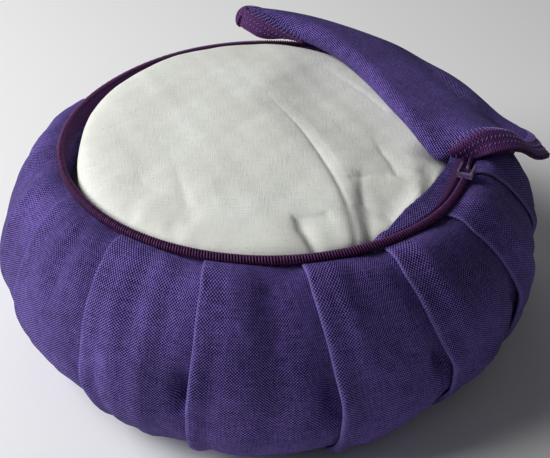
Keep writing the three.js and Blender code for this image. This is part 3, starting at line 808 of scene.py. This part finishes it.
def cloth_mesh(name, points, flat, closed=False, fold_highlight=None):
    """Mesh of a sheet from a grid of places (rows by columns, in millimetres) and its flat map in metres.

    The last argument says how strongly the painted highlight of folded edges shows at each place, from 0 to
    1.
    """
    rows, columns = points.shape[:2]
    bm = bmesh.new()
    bmesh.ops.create_grid(bm, x_segments=columns - 1, y_segments=rows - 1, size=0.5)
    bm.verts.ensure_lookup_table()
    bm.faces.ensure_lookup_table()
    layer = bm.loops.layers.uv.new("cloth")
    cells = {}
    for vert in bm.verts:
        column = round((vert.co.x + 0.5) * (columns - 1))
        row = round((vert.co.y + 0.5) * (rows - 1))
        cells[vert.index] = (row, column)
    for face in bm.faces:
        face.smooth = True
        for loop in face.loops:
            loop[layer].uv = flat[cells[loop.vert.index]]
    for vert in bm.verts:
        vert.co = points[cells[vert.index]] * MM
    # Painted highlight along folded edges, kept as an attribute for the canvas finish
    if fold_highlight is not None:
        highlit = bm.verts.layers.float.new("fold_highlight")
        for vert in bm.verts:
            vert[highlit] = fold_highlight[cells[vert.index]]
    if closed:
        bmesh.ops.remove_doubles(bm, verts=bm.verts, dist=SAME_PLACE)
    return mesh_from(bm, name)


def flip(mesh):
    mesh.flip_normals()
    return mesh


def thicken(piece, thickness):
    """Gives a sheet its thickness, half to either side."""
    solid = piece.modifiers.new("thickness", "SOLIDIFY")
    solid.thickness = thickness
    solid.offset = 0
    solid.use_even_offset = False


def round_wire(name, paths, radius):
    """One mesh of wires or threads that follow paths of points in millimetres."""
    curve = bpy.data.curves.new(name, "CURVE")
    curve.dimensions = "3D"
    curve.bevel_depth = radius
    curve.bevel_resolution = 0
    curve.use_fill_caps = True
    for points in paths:
        line = curve.splines.new("POLY")
        line.points.add(len(points) - 1)
        flat = np.ones((len(points), 4))
        flat[:, :3] = np.asarray(points) * MM
        line.points.foreach_set("co", flat.ravel())
    holder = bpy.data.objects.new(name, curve)
    bpy.context.scene.collection.objects.link(holder)
    made = holder.evaluated_get(bpy.context.evaluated_depsgraph_get())
    mesh = bpy.data.meshes.new_from_object(made)
    mesh.name = name
    bpy.data.objects.remove(holder)
    bpy.data.curves.remove(curve)
    bm = bmesh.new()
    bm.from_mesh(mesh)
    bmesh.ops.remove_doubles(bm, verts=bm.verts, dist=SAME_PLACE)
    bm.to_mesh(mesh)
    bm.free()
    mesh.polygons.foreach_set("use_smooth", np.ones(len(mesh.polygons), bool))
    return mesh


def add_wire(name, paths, radius, material):
    return add_piece(name, round_wire(name, paths, radius), [material])


class BandForm:
    """The pleated band's sheet in millimetres: a folded line across each pleat, at every height."""

    rows = 86
    half = LAYER / 2
    # Turns of the folded edge and of the underlap's end, in degrees
    edge_turns = (225, 202, 180, 158, 135)
    under_turns = (-60, -25, 0, 25, 60)
    # Steps across a pleat: near its folded edge in millimetres, then as shares of the rest
    near_steps = (half, 2.2, 4.2, 6.4, 8.8, 11.4, 14.2)
    far_from = 17
    far_shares = (0, 0.1, 0.2, 0.3, 0.4, 0.5, 0.6, 0.7, 0.79, 0.87, 0.94, 1.0)
    # Painted highlight on the first places round the folded edge
    edge_highlight = (0.8, 1, 1, 1, 0.8, 0.45)
    # Hem inside the rim: how far in, how far down, and its length on the flat cloth
    hem_in, hem_down, hem_long = 1, 2, 3
    # Pleats lean to either side of the front towards the rim, in degrees
    lean = 8
    # Crest of a pleat's outer cloth: how it leans and rounds, and its share of the puff
    crest_lean, crest_round, crest_puff = 0.72, 0.8, 0.45
    # Rolled edge and the valley beside it: distance from the folded edge, and width
    roll_at, roll_wide, valley_at, valley_wide = 4.5, 4.2, 13, 4.4
    # How far into the pleat a lifted edge and a rolled edge reach
    lift_reach, edge_reach = 9, 3
    # Flutes slant about this place along, reach this far, and start below the rim
    flute_along, flute_reach, flute_from = 0.8, 0.55, 0.15
    # Pocket before the next folded edge: its distance and width, then its share and width under that edge
    pocket_at, pocket_wide, pocket_under, under_wide = 4, 6, 0.8, 8
    # Dip under the rim before the next folded edge: depth, distance, width, then place and reach by along
    dip, dip_at, dip_wide, dip_along, dip_reach = 1.5, 10, 8, 0.13, 0.11
    # Wrinkles: height, size, how much of it shows up the band, and the seed of their waves
    wrinkles = ((0.45, 34, 0.6, 5), (0.14, 12, 0.8, 6))
    # The cloth is drawn in at the rim, and further at the rear under the folded panel
    rim_in, rear_in, rear_span = 0.22, 5, (0.6, 0.06)

    def __init__(self, cover):
        self.cover = cover
        self.along = np.linspace(0, WANDER_ALONG[-1], self.rows)
        self.under = np.interp(self.along, BAND_ALONG, BAND_UNDERLAP)
        self.puff = np.interp(self.along, BAND_ALONG, BAND_PUFF)
        self.roll = np.interp(self.along, ROLL_ALONG, ROLL_UP)
        self.valley = np.interp(self.along, ROLL_ALONG, ROLL_VALLEY)
        self.edge_up = 0.4 * self.roll
        self.r, self.z = cover.side(self.along)

    def pockets(self, k, following):
        """How far pleat k's folded edge stands off, and how far its cloth sinks before the next edge."""
        lift = np.zeros(self.rows)
        sink = np.zeros(self.rows)
        for pleat, at, reach, up, down in BAND_POCKETS:
            near = bell((self.along - at) / reach)
            lift += up * near * (pleat == k)
            sink += down * near * (pleat == following)
        return lift, sink

    def outer_layer(self, s, length, lift, sink, flutes):
        """Height of a pleat's outer cloth at the distance s from its folded edge."""
        along, under = self.along, self.under
        share = np.clip(s / length, 0, 1)
        crest = np.sin(math.pi * share ** self.crest_lean) ** self.crest_round
        settle = 1 - ease(0, 1, (s - under - 1) / (length - under - 1))
        q = 2 * LAYER * settle + self.crest_puff * self.puff * crest
        q = q + self.roll * bell((s - self.roll_at) / self.roll_wide)
        q = q - self.valley * bell((s - self.valley_at) / self.valley_wide)
        q = q + lift * bell(s / self.lift_reach) + self.edge_up * bell(s / self.edge_reach)
        below_rim = ease(0, self.flute_from, along)
        for place, slant, deep, wide, at in flutes:
            middle = (place + slant * (along - self.flute_along)) * length
            q = q + deep * bell((s - middle) / wide) * bell((along - at) / self.flute_reach) * below_rim
        ahead = length - s
        dip = self.dip * bell((ahead - self.dip_at) / self.dip_wide)
        q = q - sink * bell((ahead - self.pocket_at) / self.pocket_wide)
        return q - dip * bell((along - self.dip_along) / self.dip_reach)

    def pleat(self, length, lift, sink, pick):
        """Places across a pleat: distance from its folded edge, height, and 1 on its outer cloth."""
        half, under = self.half, self.under
        flutes = [
            (pick.uniform(0.3, 0.88), pick.uniform(-0.07, 0.07),
             pick.uniform(0.8, 1.7) * pick.choice((-1, 1)), pick.uniform(4.5, 8.5), pick.uniform(0.2, 1.1))
            for _ in range(6)
        ]
        line = []
        for turn in np.radians(self.edge_turns):
            rise = 1.5 * LAYER + half * np.sin(turn) + self.edge_up + lift
            line.append((half + half * np.cos(turn), rise, 0))
        far_steps = [self.far_from + (length - self.far_from) * t for t in self.far_shares]
        for s in (*self.near_steps, *far_steps):
            line.append((s, self.outer_layer(s, length, lift, sink, flutes), 1))
        for t in (0.3, 0.65, 0.95):
            fade = bell((under * t + self.pocket_at) / self.under_wide)
            line.append((length + (under - half) * t, -sink * self.pocket_under * fade, 0))
        for turn in np.radians(self.under_turns):
            line.append((length + under - half + half * np.cos(turn), half + half * np.sin(turn), 0))
        for t in (0.9, 0.55, 0.2):
            line.append((length + half + (under - 2 * half) * t, LAYER, 0))
        return line

    def settled(self, theta, q, outside):
        """Height once the cloth is drawn in at the rim, puffed and wrinkled."""
        along = self.along
        x, y = self.r * np.cos(theta), self.r * np.sin(theta)
        wrinkle = 0
        for high, size, upward, seed in self.wrinkles:
            wrinkle = wrinkle + high * soft_waves(x, y, self.z * upward, size, seed)
        q = q - 2 * LAYER * ease(self.rim_in, 0, along)
        q = q - self.rear_in * ease(*self.rear_span, along) * ease(0.05, 0.5, np.sin(theta))
        return q + 0.5 * self.puff + outside * ease(0, 0.25, along) * wrinkle

    def column(self, theta, q):
        """Places from the hem over the rim and down to the base."""
        cover = self.cover
        nr, nz = cover.side_out(self.along)
        leant = theta - math.radians(self.lean) * np.maximum(0, 1 - self.along) * np.cos(theta)
        hem = cover.rim_place(leant[:1], cover.rim - self.hem_in, cover.rim_z - self.hem_down)
        return np.concatenate([hem, cover.place(leant, self.r + q * nr, self.z + q * nz)])

    def grid(self):
        """Places, flat map in metres and painted fold-edge highlight of the whole sheet."""
        pick = np.random.default_rng(17)
        girth_row = int(np.argmin(np.abs(self.along - 1)))
        points, flat_x, highlit = [], [], []
        so_far, last = 0.0, None
        for k, deg in enumerate(PLEAT_DEG):
            following = (k + 1) % len(PLEAT_DEG)
            drift, next_drift = (np.interp(self.along, WANDER_ALONG, PLEAT_WANDER[n]) for n in (k, following))
            start = np.radians(deg + drift)
            length = np.radians((PLEAT_DEG[following] - deg) % 360 + next_drift - drift) * self.r
            line = self.pleat(length, *self.pockets(k, following), pick)
            # Painted highlight on the folded edge's first places, none on the rest
            highlit += [*self.edge_highlight, *[0] * (len(line) - len(self.edge_highlight))]
            for s, q, outside in line:
                theta = start + s / self.r
                q = self.settled(theta, q, outside)
                points.append(self.column(theta, q))
                here = (start * self.r + s)[girth_row], q[girth_row]
                if last:
                    so_far += math.hypot(here[0] - last[0], here[1] - last[1])
                last = here
                flat_x.append(so_far)
        points.append(points[0])
        flat_x.append(so_far + 2)
        highlit.append(highlit[0])
        run = np.append(0, run_of(np.stack([self.r, self.z], -1)) + self.hem_long)
        # The painted highlight fades in below the rim and out between the girth and the base
        fade = np.append(0, ease(0, 0.06, self.along) * ease(1.5, 1.05, self.along))
        return np.stack(points, 1), flat_map(np.array(flat_x), run[:, None]), fade[:, None] * np.array(highlit)


class CUSHION_OT_side_band(bpy.types.Operator):
    """Pleated canvas band with its folded edges, puffs and pockets"""

    bl_idname = "cushion.side_band"
    bl_label = "Side band"

    def execute(self, context):
        cover = CoverForm()
        # The third result is the painted highlight along folded edges
        places, flat, fold_highlight = BandForm(cover).grid()
        mesh = flip(cloth_mesh("side_band_cloth", places, flat, closed=True, fold_highlight=fold_highlight))
        piece = add_piece("side_band_cloth", mesh, ["purple_canvas"], ["side_band"])
        thicken(piece, cover.cloth * MM)
        return {"FINISHED"}


class CUSHION_OT_base_panel(bpy.types.Operator):
    """Round base panel whose seam edge turns up inside the band"""

    bl_idname = "cushion.base_panel"
    bl_label = "Base panel"

    def execute(self, context):
        floor_gap, pucker_high, pucker_count = 0.55, 0.25, 58
        theta = np.linspace(0, 2 * math.pi, 169)
        radius = np.append(np.linspace(0, 112, 30), np.append(np.arange(115, 128, 3), BASE_EDGE[-1]))[:, None]
        rise = np.interp(radius, BASE_EDGE, BASE_RISE) + floor_gap
        pucker = pucker_high * np.sin(theta * pucker_count) * ease(116, 128, radius)
        x = radius * np.cos(theta)
        y = radius * np.sin(theta)
        places = np.stack([x, y, rise + pucker], -1)
        mesh = cloth_mesh("base_panel_cloth", places, flat_map(x, y), closed=True)
        piece = add_piece("base_panel_cloth", mesh, ["purple_canvas"], ["bottom_panel"])
        thicken(piece, BASE_THICK)
        return {"FINISHED"}


class CUSHION_OT_filling(bpy.types.Operator):
    """Filled calico cushion, domed in the cover's mouth and creased"""

    bl_idname = "cushion.filling"
    bl_label = "Inner cushion"

    def execute(self, context):
        cover = CoverForm()
        theta = np.linspace(0, 2 * math.pi, 521)
        gap = np.interp(turn_between(np.degrees(theta), 0), MOUTH_DEG, MOUTH_GAP)
        for _ in range(6):
            ring = gap[:-1]
            ring = (ring + 0.5 * np.roll(ring, 4) + 0.5 * np.roll(ring, -4)) / 2
            gap = np.append(ring, ring[0])
        mouth = MOUTH_RADIUS - gap
        rows = [np.tile((0, 0, FILL_LOW), (len(theta), 1))]
        for r, z in ((50, FILL_LOW), (90, FILL_LOW), (108, FILL_LOW), (119, 5)):
            rows.append(cover.place(theta, r, z))
        for along in np.linspace(1.62, 0.86, 18):
            r, z = cover.side(along)
            nr, nz = cover.side_out(along)
            rows.append(cover.place(theta, r - FILL_INSET * nr, z - FILL_INSET * nz))
        for past, down in FILL_SHOULDER:
            rows.append(cover.rim_place(theta, mouth + past, cover.rim_z - down))
        x0, y0 = cover.rim_place(theta, mouth, cover.rim_z)[:, :2].T
        edge_shares = [(1 - inward / np.hypot(x0, y0), drop) for inward, drop in FILL_EDGE]
        for share, drop in (*edge_shares, *((share, 0) for share in np.linspace(0.795, 0, 110))):
            x, y = x0 * share, y0 * share
            rows.append(np.stack([x, y, cover.crown(x, y) - drop], -1))
        places = np.stack(rows, 0)
        x, y, z = np.moveaxis(places, -1, 0)
        top = ease(cover.rim_z - 16, cover.rim_z, z)
        places[..., 2] += top * (0.35 * soft_waves(x, y, 0, 46, 11) + 0.16 * soft_waves(x, y, 0, 17, 12))
        mesh = cloth_mesh("inner_cushion_calico", places, flat_map(x, y), closed=True)
        piece = add_piece("inner_cushion_calico", mesh, ["calico"], ["inner_cushion"])
        return {"FINISHED"}


class CUSHION_OT_top_panel(bpy.types.Operator):
    """Canvas top panel, folded back with its inside face up"""

    bl_idname = "cushion.top_panel"
    bl_label = "Top panel"

    def execute(self, context):
        cover = CoverForm()
        panel = PanelForm(cover)
        last_deg, turn_from, turn_to = 87.5, -16, 20
        wave_high, wave_size, seed = 0.5, 42, 21
        u = PANEL_CLOTH * np.sin(np.radians(np.linspace(-last_deg, last_deg, 150)))
        start = panel.start(u)
        end = panel.front(u) + np.sqrt(PANEL_CLOTH ** 2 - u * u)
        turn_in = np.maximum(start + 3, turn_from)
        turn_out = np.maximum(turn_in + 6, turn_to)
        rows = []
        for first, last, count in ((start, turn_in, 11), (turn_in, turn_out, 25), (turn_out, end, 77)):
            rows += [first + (last - first) * t for t in np.linspace(0, 1, count + 1)[:-1]]
        b = np.stack([*rows, end], 0)
        across = np.broadcast_to(u, b.shape)
        inside = ease(PANEL_CLOTH - 14, PANEL_CLOTH - 40, np.hypot(across, panel.front(across) - b))
        waves = wave_high * soft_waves(across, b, 0, wave_size, seed) * ease(turn_to, 50, b) * inside
        places = panel.lifted(across, b, waves)
        grain = math.radians(33)
        warp = across * math.cos(grain) - b * math.sin(grain)
        weft = across * math.sin(grain) + b * math.cos(grain)
        mesh = cloth_mesh("top_panel_cloth", places, flat_map(warp, weft))
        piece = add_piece("top_panel_cloth", mesh, ["purple_canvas"], ["top_panel"])
        thicken(piece, cover.cloth * MM)
        return {"FINISHED"}


def coil_path(centre, out, up, pitch, wide):
    """Places along a flattened coil that follows a line, given its sideways and upward directions."""
    tall, turn_points = 1.3, 10
    run = run_of(centre)
    t = np.linspace(0, run[-1], int(run[-1] / pitch * turn_points))
    angle = 2 * math.pi * t[:, None] / pitch
    centre, out, up = (on_line(t, run, line) for line in (centre, out, up))
    return centre + out * (wide * np.cos(angle)) + up * (tall * np.sin(angle))


def overlock_paths(inner, outer, lift, count):
    """Overlock stitches: each thread climbs over the raw edge and dips back into the cloth."""
    t = run_of(0.5 * (inner + outer))
    t /= t[-1]
    at = np.linspace(0.004, 0.994, count)
    slant = 0.25 * (at[1] - at[0])
    wander = np.random.default_rng(31).normal(0, 0.35 * slant, count)
    parts = []
    for way, height in ((0, -0.3), (0.12, 0.25), (0.5, 0.45), (0.88, 0.3), (1.0, -0.4)):
        first, second, up = (on_line(at + (slant + wander) * way, t, line) for line in (inner, outer, lift))
        parts.append(first * (1 - way) + second * way + up * height)
    return list(np.stack(parts, 1))


class CUSHION_OT_panel_zip(bpy.types.Operator):
    """Zip half on the folded panel: tape, coil turns and overlock thread"""

    bl_idname = "cushion.panel_zip"
    bl_label = "Panel zip"

    def execute(self, context):
        zipper = settings("cushion_zip")
        panel = PanelForm(CoverForm())
        share = np.linspace(0, 1, 420)
        # Where the zip begins round the panel and how far it runs, with its places closer at both ends
        first_deg, span_deg, closer = 38, 259, 0.12
        spread = share - closer * np.sin(2 * math.pi * share)
        psi = math.radians(first_deg) + math.radians(span_deg) * spread
        # How far the tape stands past the canvas and above it, where the coil lies past the canvas and
        # below the tape, and how high sewn rows stand on the tape
        past, near, coil_past, coil_below, sewn_up = 2.2, 1.5, 0.6, 2.1, 0.3
        out = np.linspace(-TAPE_WIDE, past, 12)
        places = np.stack([panel.rim(psi, far, near) for far in out], 0)
        edge = panel.rim(psi, coil_past, near - coil_below)
        run = run_of(edge)
        mesh = flip(cloth_mesh("panel_zip_tape", places, flat_map(run, out[:, None])))
        tape = add_piece("panel_zip_tape", mesh, ["zip_tape"], ["flap_zip"])
        thicken(tape, TAPE_THICK)
        up = unit(panel.rim(psi, 2.6, 3) - panel.rim(psi, 2.6, 0))
        side = unit(np.cross(unit(np.gradient(edge, axis=0)), up))
        turns = coil_path(edge, side, up, zipper.pitch / MM, wide=1.9)
        coil = add_wire("panel_zip_coil", [turns], zipper.wire / 2, "zip_coil")
        count = int(run[-1] / (zipper.stitch / MM))
        inner = panel.rim(psi, -TAPE_WIDE - 4.2, 0.8)
        outer = panel.rim(psi, -TAPE_WIDE + 1.6, near + 0.6)
        loops = overlock_paths(inner, outer, up, count)
        for row in SEWN_ROWS:
            first, second = (panel.rim(psi, far, near + sewn_up) for far in row)
            loops += overlock_paths(first, second, up, count)
        thread = add_wire("panel_zip_thread", loops, PANEL_THREAD, "overlock_thread")
        return {"FINISHED"}


class CUSHION_OT_band_zip(bpy.types.Operator):
    """Zip half on the band: tape inside the rim, coil turns and overlocked seam edge"""

    bl_idname = "cushion.band_zip"
    bl_label = "Band zip"

    def execute(self, context):
        zipper = settings("cushion_zip")
        cover = CoverForm()
        # It runs from past the slider round the front and the left side to the rear
        first_deg, last_deg, left_deg = SLIDER_DEG + 10, 66 - 360, 178
        deg = np.linspace(first_deg, last_deg, 540)
        theta = np.radians(deg)
        # It stands nearly upright, lies over where the overlocked edge shows, and leans in on the left
        upright, laid_over, left_lean = 4, 98, 22
        leant = left_lean * bell(turn_between(deg, left_deg) / 20)
        lean = np.radians(upright + laid_over * ease(-67, -59, deg) + leant)
        wide = np.interp(deg, STRIP_DEG, STRIP_WIDE)
        # The seam comes nearer the rim where the overlocked edge shows, and on the left
        seam_below, shown_near, shown_back, left_near = 1.5, 10.5, 5, 6
        nearer = (shown_near - shown_back * ease(-52, -28, deg)) * ease(-84, -68, deg)
        seam = TAPE_WIDE + seam_below - nearer - left_near * bell(turn_between(deg, left_deg) / 34)
        # The coil's edge of the tape tips inwards at this angle, from this far above its seam
        tip = math.radians(36)
        tip_from = 2
        rows, reach = [], []
        for share in (-1.0, -0.8, -0.6, -0.4, -0.2, *np.linspace(0, 2, 20)):
            far = seam * share if share < 1 else seam + (wide - seam) * (share - 1)
            if share < 0:
                far = np.full_like(deg, TURNED_UP * share)
            tipped = np.maximum(0, -tip_from - far)
            slope = lean * np.clip(far / 5, 0, 1)
            past = far * np.sin(slope) + tipped * math.cos(tip)
            z = cover.rim_z + 0.8 - np.maximum(far, -tip_from) * np.cos(slope) + tipped * math.sin(tip)
            ripple = 0.12 * np.sin(deg * 1.9) * np.square(np.maximum(0, far / TAPE_WIDE))
            rows.append(cover.rim_place(theta, cover.rim - 1.6 - past, z + ripple))
            reach.append(far)
        places = np.stack(rows, 0)
        run = run_of(places[0])
        mesh = cloth_mesh("band_zip_tape", places, flat_map(run, np.stack(reach, 0) + TURNED_UP))
        tape = add_piece("band_zip_tape", mesh, ["zip_tape", "purple_canvas"], ["band_zip"])
        for face in mesh.polygons:
            spots = [mesh.uv_layers["cloth"].data[k].uv for k in face.loop_indices]
            x, y = np.mean(spots, axis=0) / MM
            face.material_index = int(y - TURNED_UP > np.interp(x, run, seam))
        thicken(tape, TAPE_THICK)
        theta = theta[deg < SLIDER_DEG - 2.65]
        middle = cover.rim_place(theta, cover.rim - 1.5, cover.rim_z + 2.5)
        level = np.stack([np.cos(theta), np.sin(theta), np.zeros_like(theta)], -1)
        out = math.cos(tip) * level + np.array((0, 0, -math.sin(tip)))
        up = math.sin(tip) * level + np.array((0, 0, math.cos(tip)))
        turns = coil_path(middle, out, up, zipper.pitch / MM, wide=2.4)
        coil = add_wire("band_zip_coil", [turns], zipper.wire / 2, "zip_coil")
        lift = unit(np.cross(np.gradient(places[-1], axis=0), places[-1] - places[-3]))
        loops = overlock_paths(places[-1], places[-5], lift, int(run[-1] / (zipper.stitch / MM)))
        thread = add_wire("band_zip_thread", loops, BAND_THREAD, "overlock_thread")
        return {"FINISHED"}


class CUSHION_OT_slider(bpy.types.Operator):
    """Zip slider: two plates on a post, with flanges and scuffed edges"""

    bl_idname = "cushion.slider"
    bl_label = "Zip slider"

    def execute(self, context):
        cover = CoverForm()
        theta = math.radians(SLIDER_DEG)
        centre = Vector(cover.place(theta, cover.rim - 2, cover.rim_z))
        out = Vector((math.cos(theta), math.sin(theta), 0))
        along = Vector((-out.y, out.x, 0))
        bm = bmesh.new()
        for x, y, z, wide, long, tall in SLIDER_BOXES:
            made = bmesh.ops.create_cube(bm, size=1.0)
            bmesh.ops.scale(bm, vec=(wide, long, tall), verts=made["verts"])
            bmesh.ops.translate(bm, vec=(x, y, z), verts=made["verts"])
            edges = list({e for v in made["verts"] for e in v.link_edges})
            rounded = bmesh.ops.bevel(
                bm, geom=edges, offset=SLIDER_EDGE, segments=2, profile=0.5, affect="EDGES", material=-1)
            for face in rounded["faces"]:
                face.material_index = 1
        for vert in bm.verts:
            x, y, z = vert.co
            spot = centre + out * x + along * y
            vert.co = Vector((spot.x, spot.y, cover.rim_z + SLIDER_UP + z)) * MM
        bmesh.ops.recalc_face_normals(bm, faces=bm.faces)
        mesh = mesh_from(bm, "zip_slider_body")
        add_piece("zip_slider_body", mesh, ["slider_paint", "slider_bare_edge"], ["zip_slider"])
        return {"FINISHED"}


class CUSHION_OT_stage(bpy.types.Operator):
    """Pale floor, soft light from the left and the camera"""

    bl_idname = "cushion.stage"
    bl_label = "Stage"

    def execute(self, context):
        stage = settings("cushion_stage")
        scene = context.scene
        bm = bmesh.new()
        bmesh.ops.create_grid(bm, x_segments=1, y_segments=1, size=6)
        mesh = mesh_from(bm, "floor")
        floor = bpy.data.objects.new("floor", mesh)
        scene.collection.objects.link(floor)
        paint = Finish("pale_floor", {"Roughness": 0.9})
        speck = paint.noise(paint.object_map(), 3, 2.0)
        colour = paint.mix(speck, tinted(stage.floor, 0.97), tuple(stage.floor))
        mesh.materials.append(paint.end({"Base Color": colour}))

        world = bpy.data.worlds.new("studio")
        world.use_nodes = True
        sky = world.node_tree.nodes["Background"]
        sky.inputs["Color"].default_value = SKY
        sky.inputs["Strength"].default_value = SKY_STRENGTH
        scene.world = world
        scene.view_settings.view_transform = "Standard"

        aim = Vector(AIM)
        for name, place, size, share in LAMPS:
            lamp = bpy.data.lights.new(name, "AREA")
            lamp.size = size
            lamp.energy = stage.key * share
            holder = bpy.data.objects.new(name, lamp)
            holder.location = place
            holder.rotation_euler = (aim - Vector(place)).to_track_quat("-Z", "Y").to_euler()
            scene.collection.objects.link(holder)

        camera = bpy.data.cameras.new("camera")
        camera.lens = SENSOR * FOCAL / PICTURE_WIDE
        camera.sensor_width = SENSOR
        camera.sensor_fit = "HORIZONTAL"
        camera.shift_x = (PICTURE_WIDE / 2 - CENTRE_X) / PICTURE_WIDE
        camera.shift_y = (CENTRE_Y - PICTURE_TALL / 2) / PICTURE_WIDE
        camera.clip_start = 0.01
        holder = bpy.data.objects.new("camera", camera)
        back = Vector((0, -math.cos(stage.elevation), math.sin(stage.elevation)))
        holder.location = aim + back * stage.distance
        holder.rotation_euler = (-back).to_track_quat("-Z", "Y").to_euler()
        scene.collection.objects.link(holder)
        scene.camera = holder
        return {"FINISHED"}


class CUSHION_PT_panel(bpy.types.Panel):
    """Lists the cushion's pieces and sizes"""

    bl_idname = "CUSHION_PT_panel"
    bl_label = "Cushion"
    bl_space_type = "VIEW_3D"
    bl_region_type = "UI"
    bl_category = "Cushion"

    def draw(self, context):
        for group in ("cushion_cover", "cushion_fill", "cushion_zip", "cushion_stage"):
            box = self.layout.box()
            for key in settings(group).bl_rna.properties.keys():
                if key not in ("rna_type", "name"):
                    box.prop(settings(group), key)
        for operator in PIECES:
            self.layout.operator(operator.bl_idname)


GROUPS = {
    "cushion_cover": CoverSettings,
    "cushion_fill": FillSettings,
    "cushion_zip": ZipSettings,
    "cushion_stage": StageSettings,
}
PIECES = (
    CUSHION_OT_stage,
    CUSHION_OT_filling,
    CUSHION_OT_base_panel,
    CUSHION_OT_side_band,
    CUSHION_OT_top_panel,
    CUSHION_OT_band_zip,
    CUSHION_OT_panel_zip,
    CUSHION_OT_slider,
)


def register():
    for cls in (*GROUPS.values(), *PIECES, CUSHION_PT_panel):
        bpy.utils.register_class(cls)
    for name, cls in GROUPS.items():
        setattr(bpy.types.Scene, name, bpy.props.PointerProperty(type=cls))


def unregister():
    for name in GROUPS:
        delattr(bpy.types.Scene, name)
    for cls in reversed((*GROUPS.values(), *PIECES, CUSHION_PT_panel)):
        bpy.utils.unregister_class(cls)


def main():
    register()
    bpy.ops.cushion.stage()
    bpy.ops.cushion.filling()
    bpy.ops.cushion.base_panel()
    bpy.ops.cushion.side_band()
    bpy.ops.cushion.top_panel()
    bpy.ops.cushion.band_zip()
    bpy.ops.cushion.panel_zip()
    bpy.ops.cushion.slider()


if __name__ == "__main__":
    main()
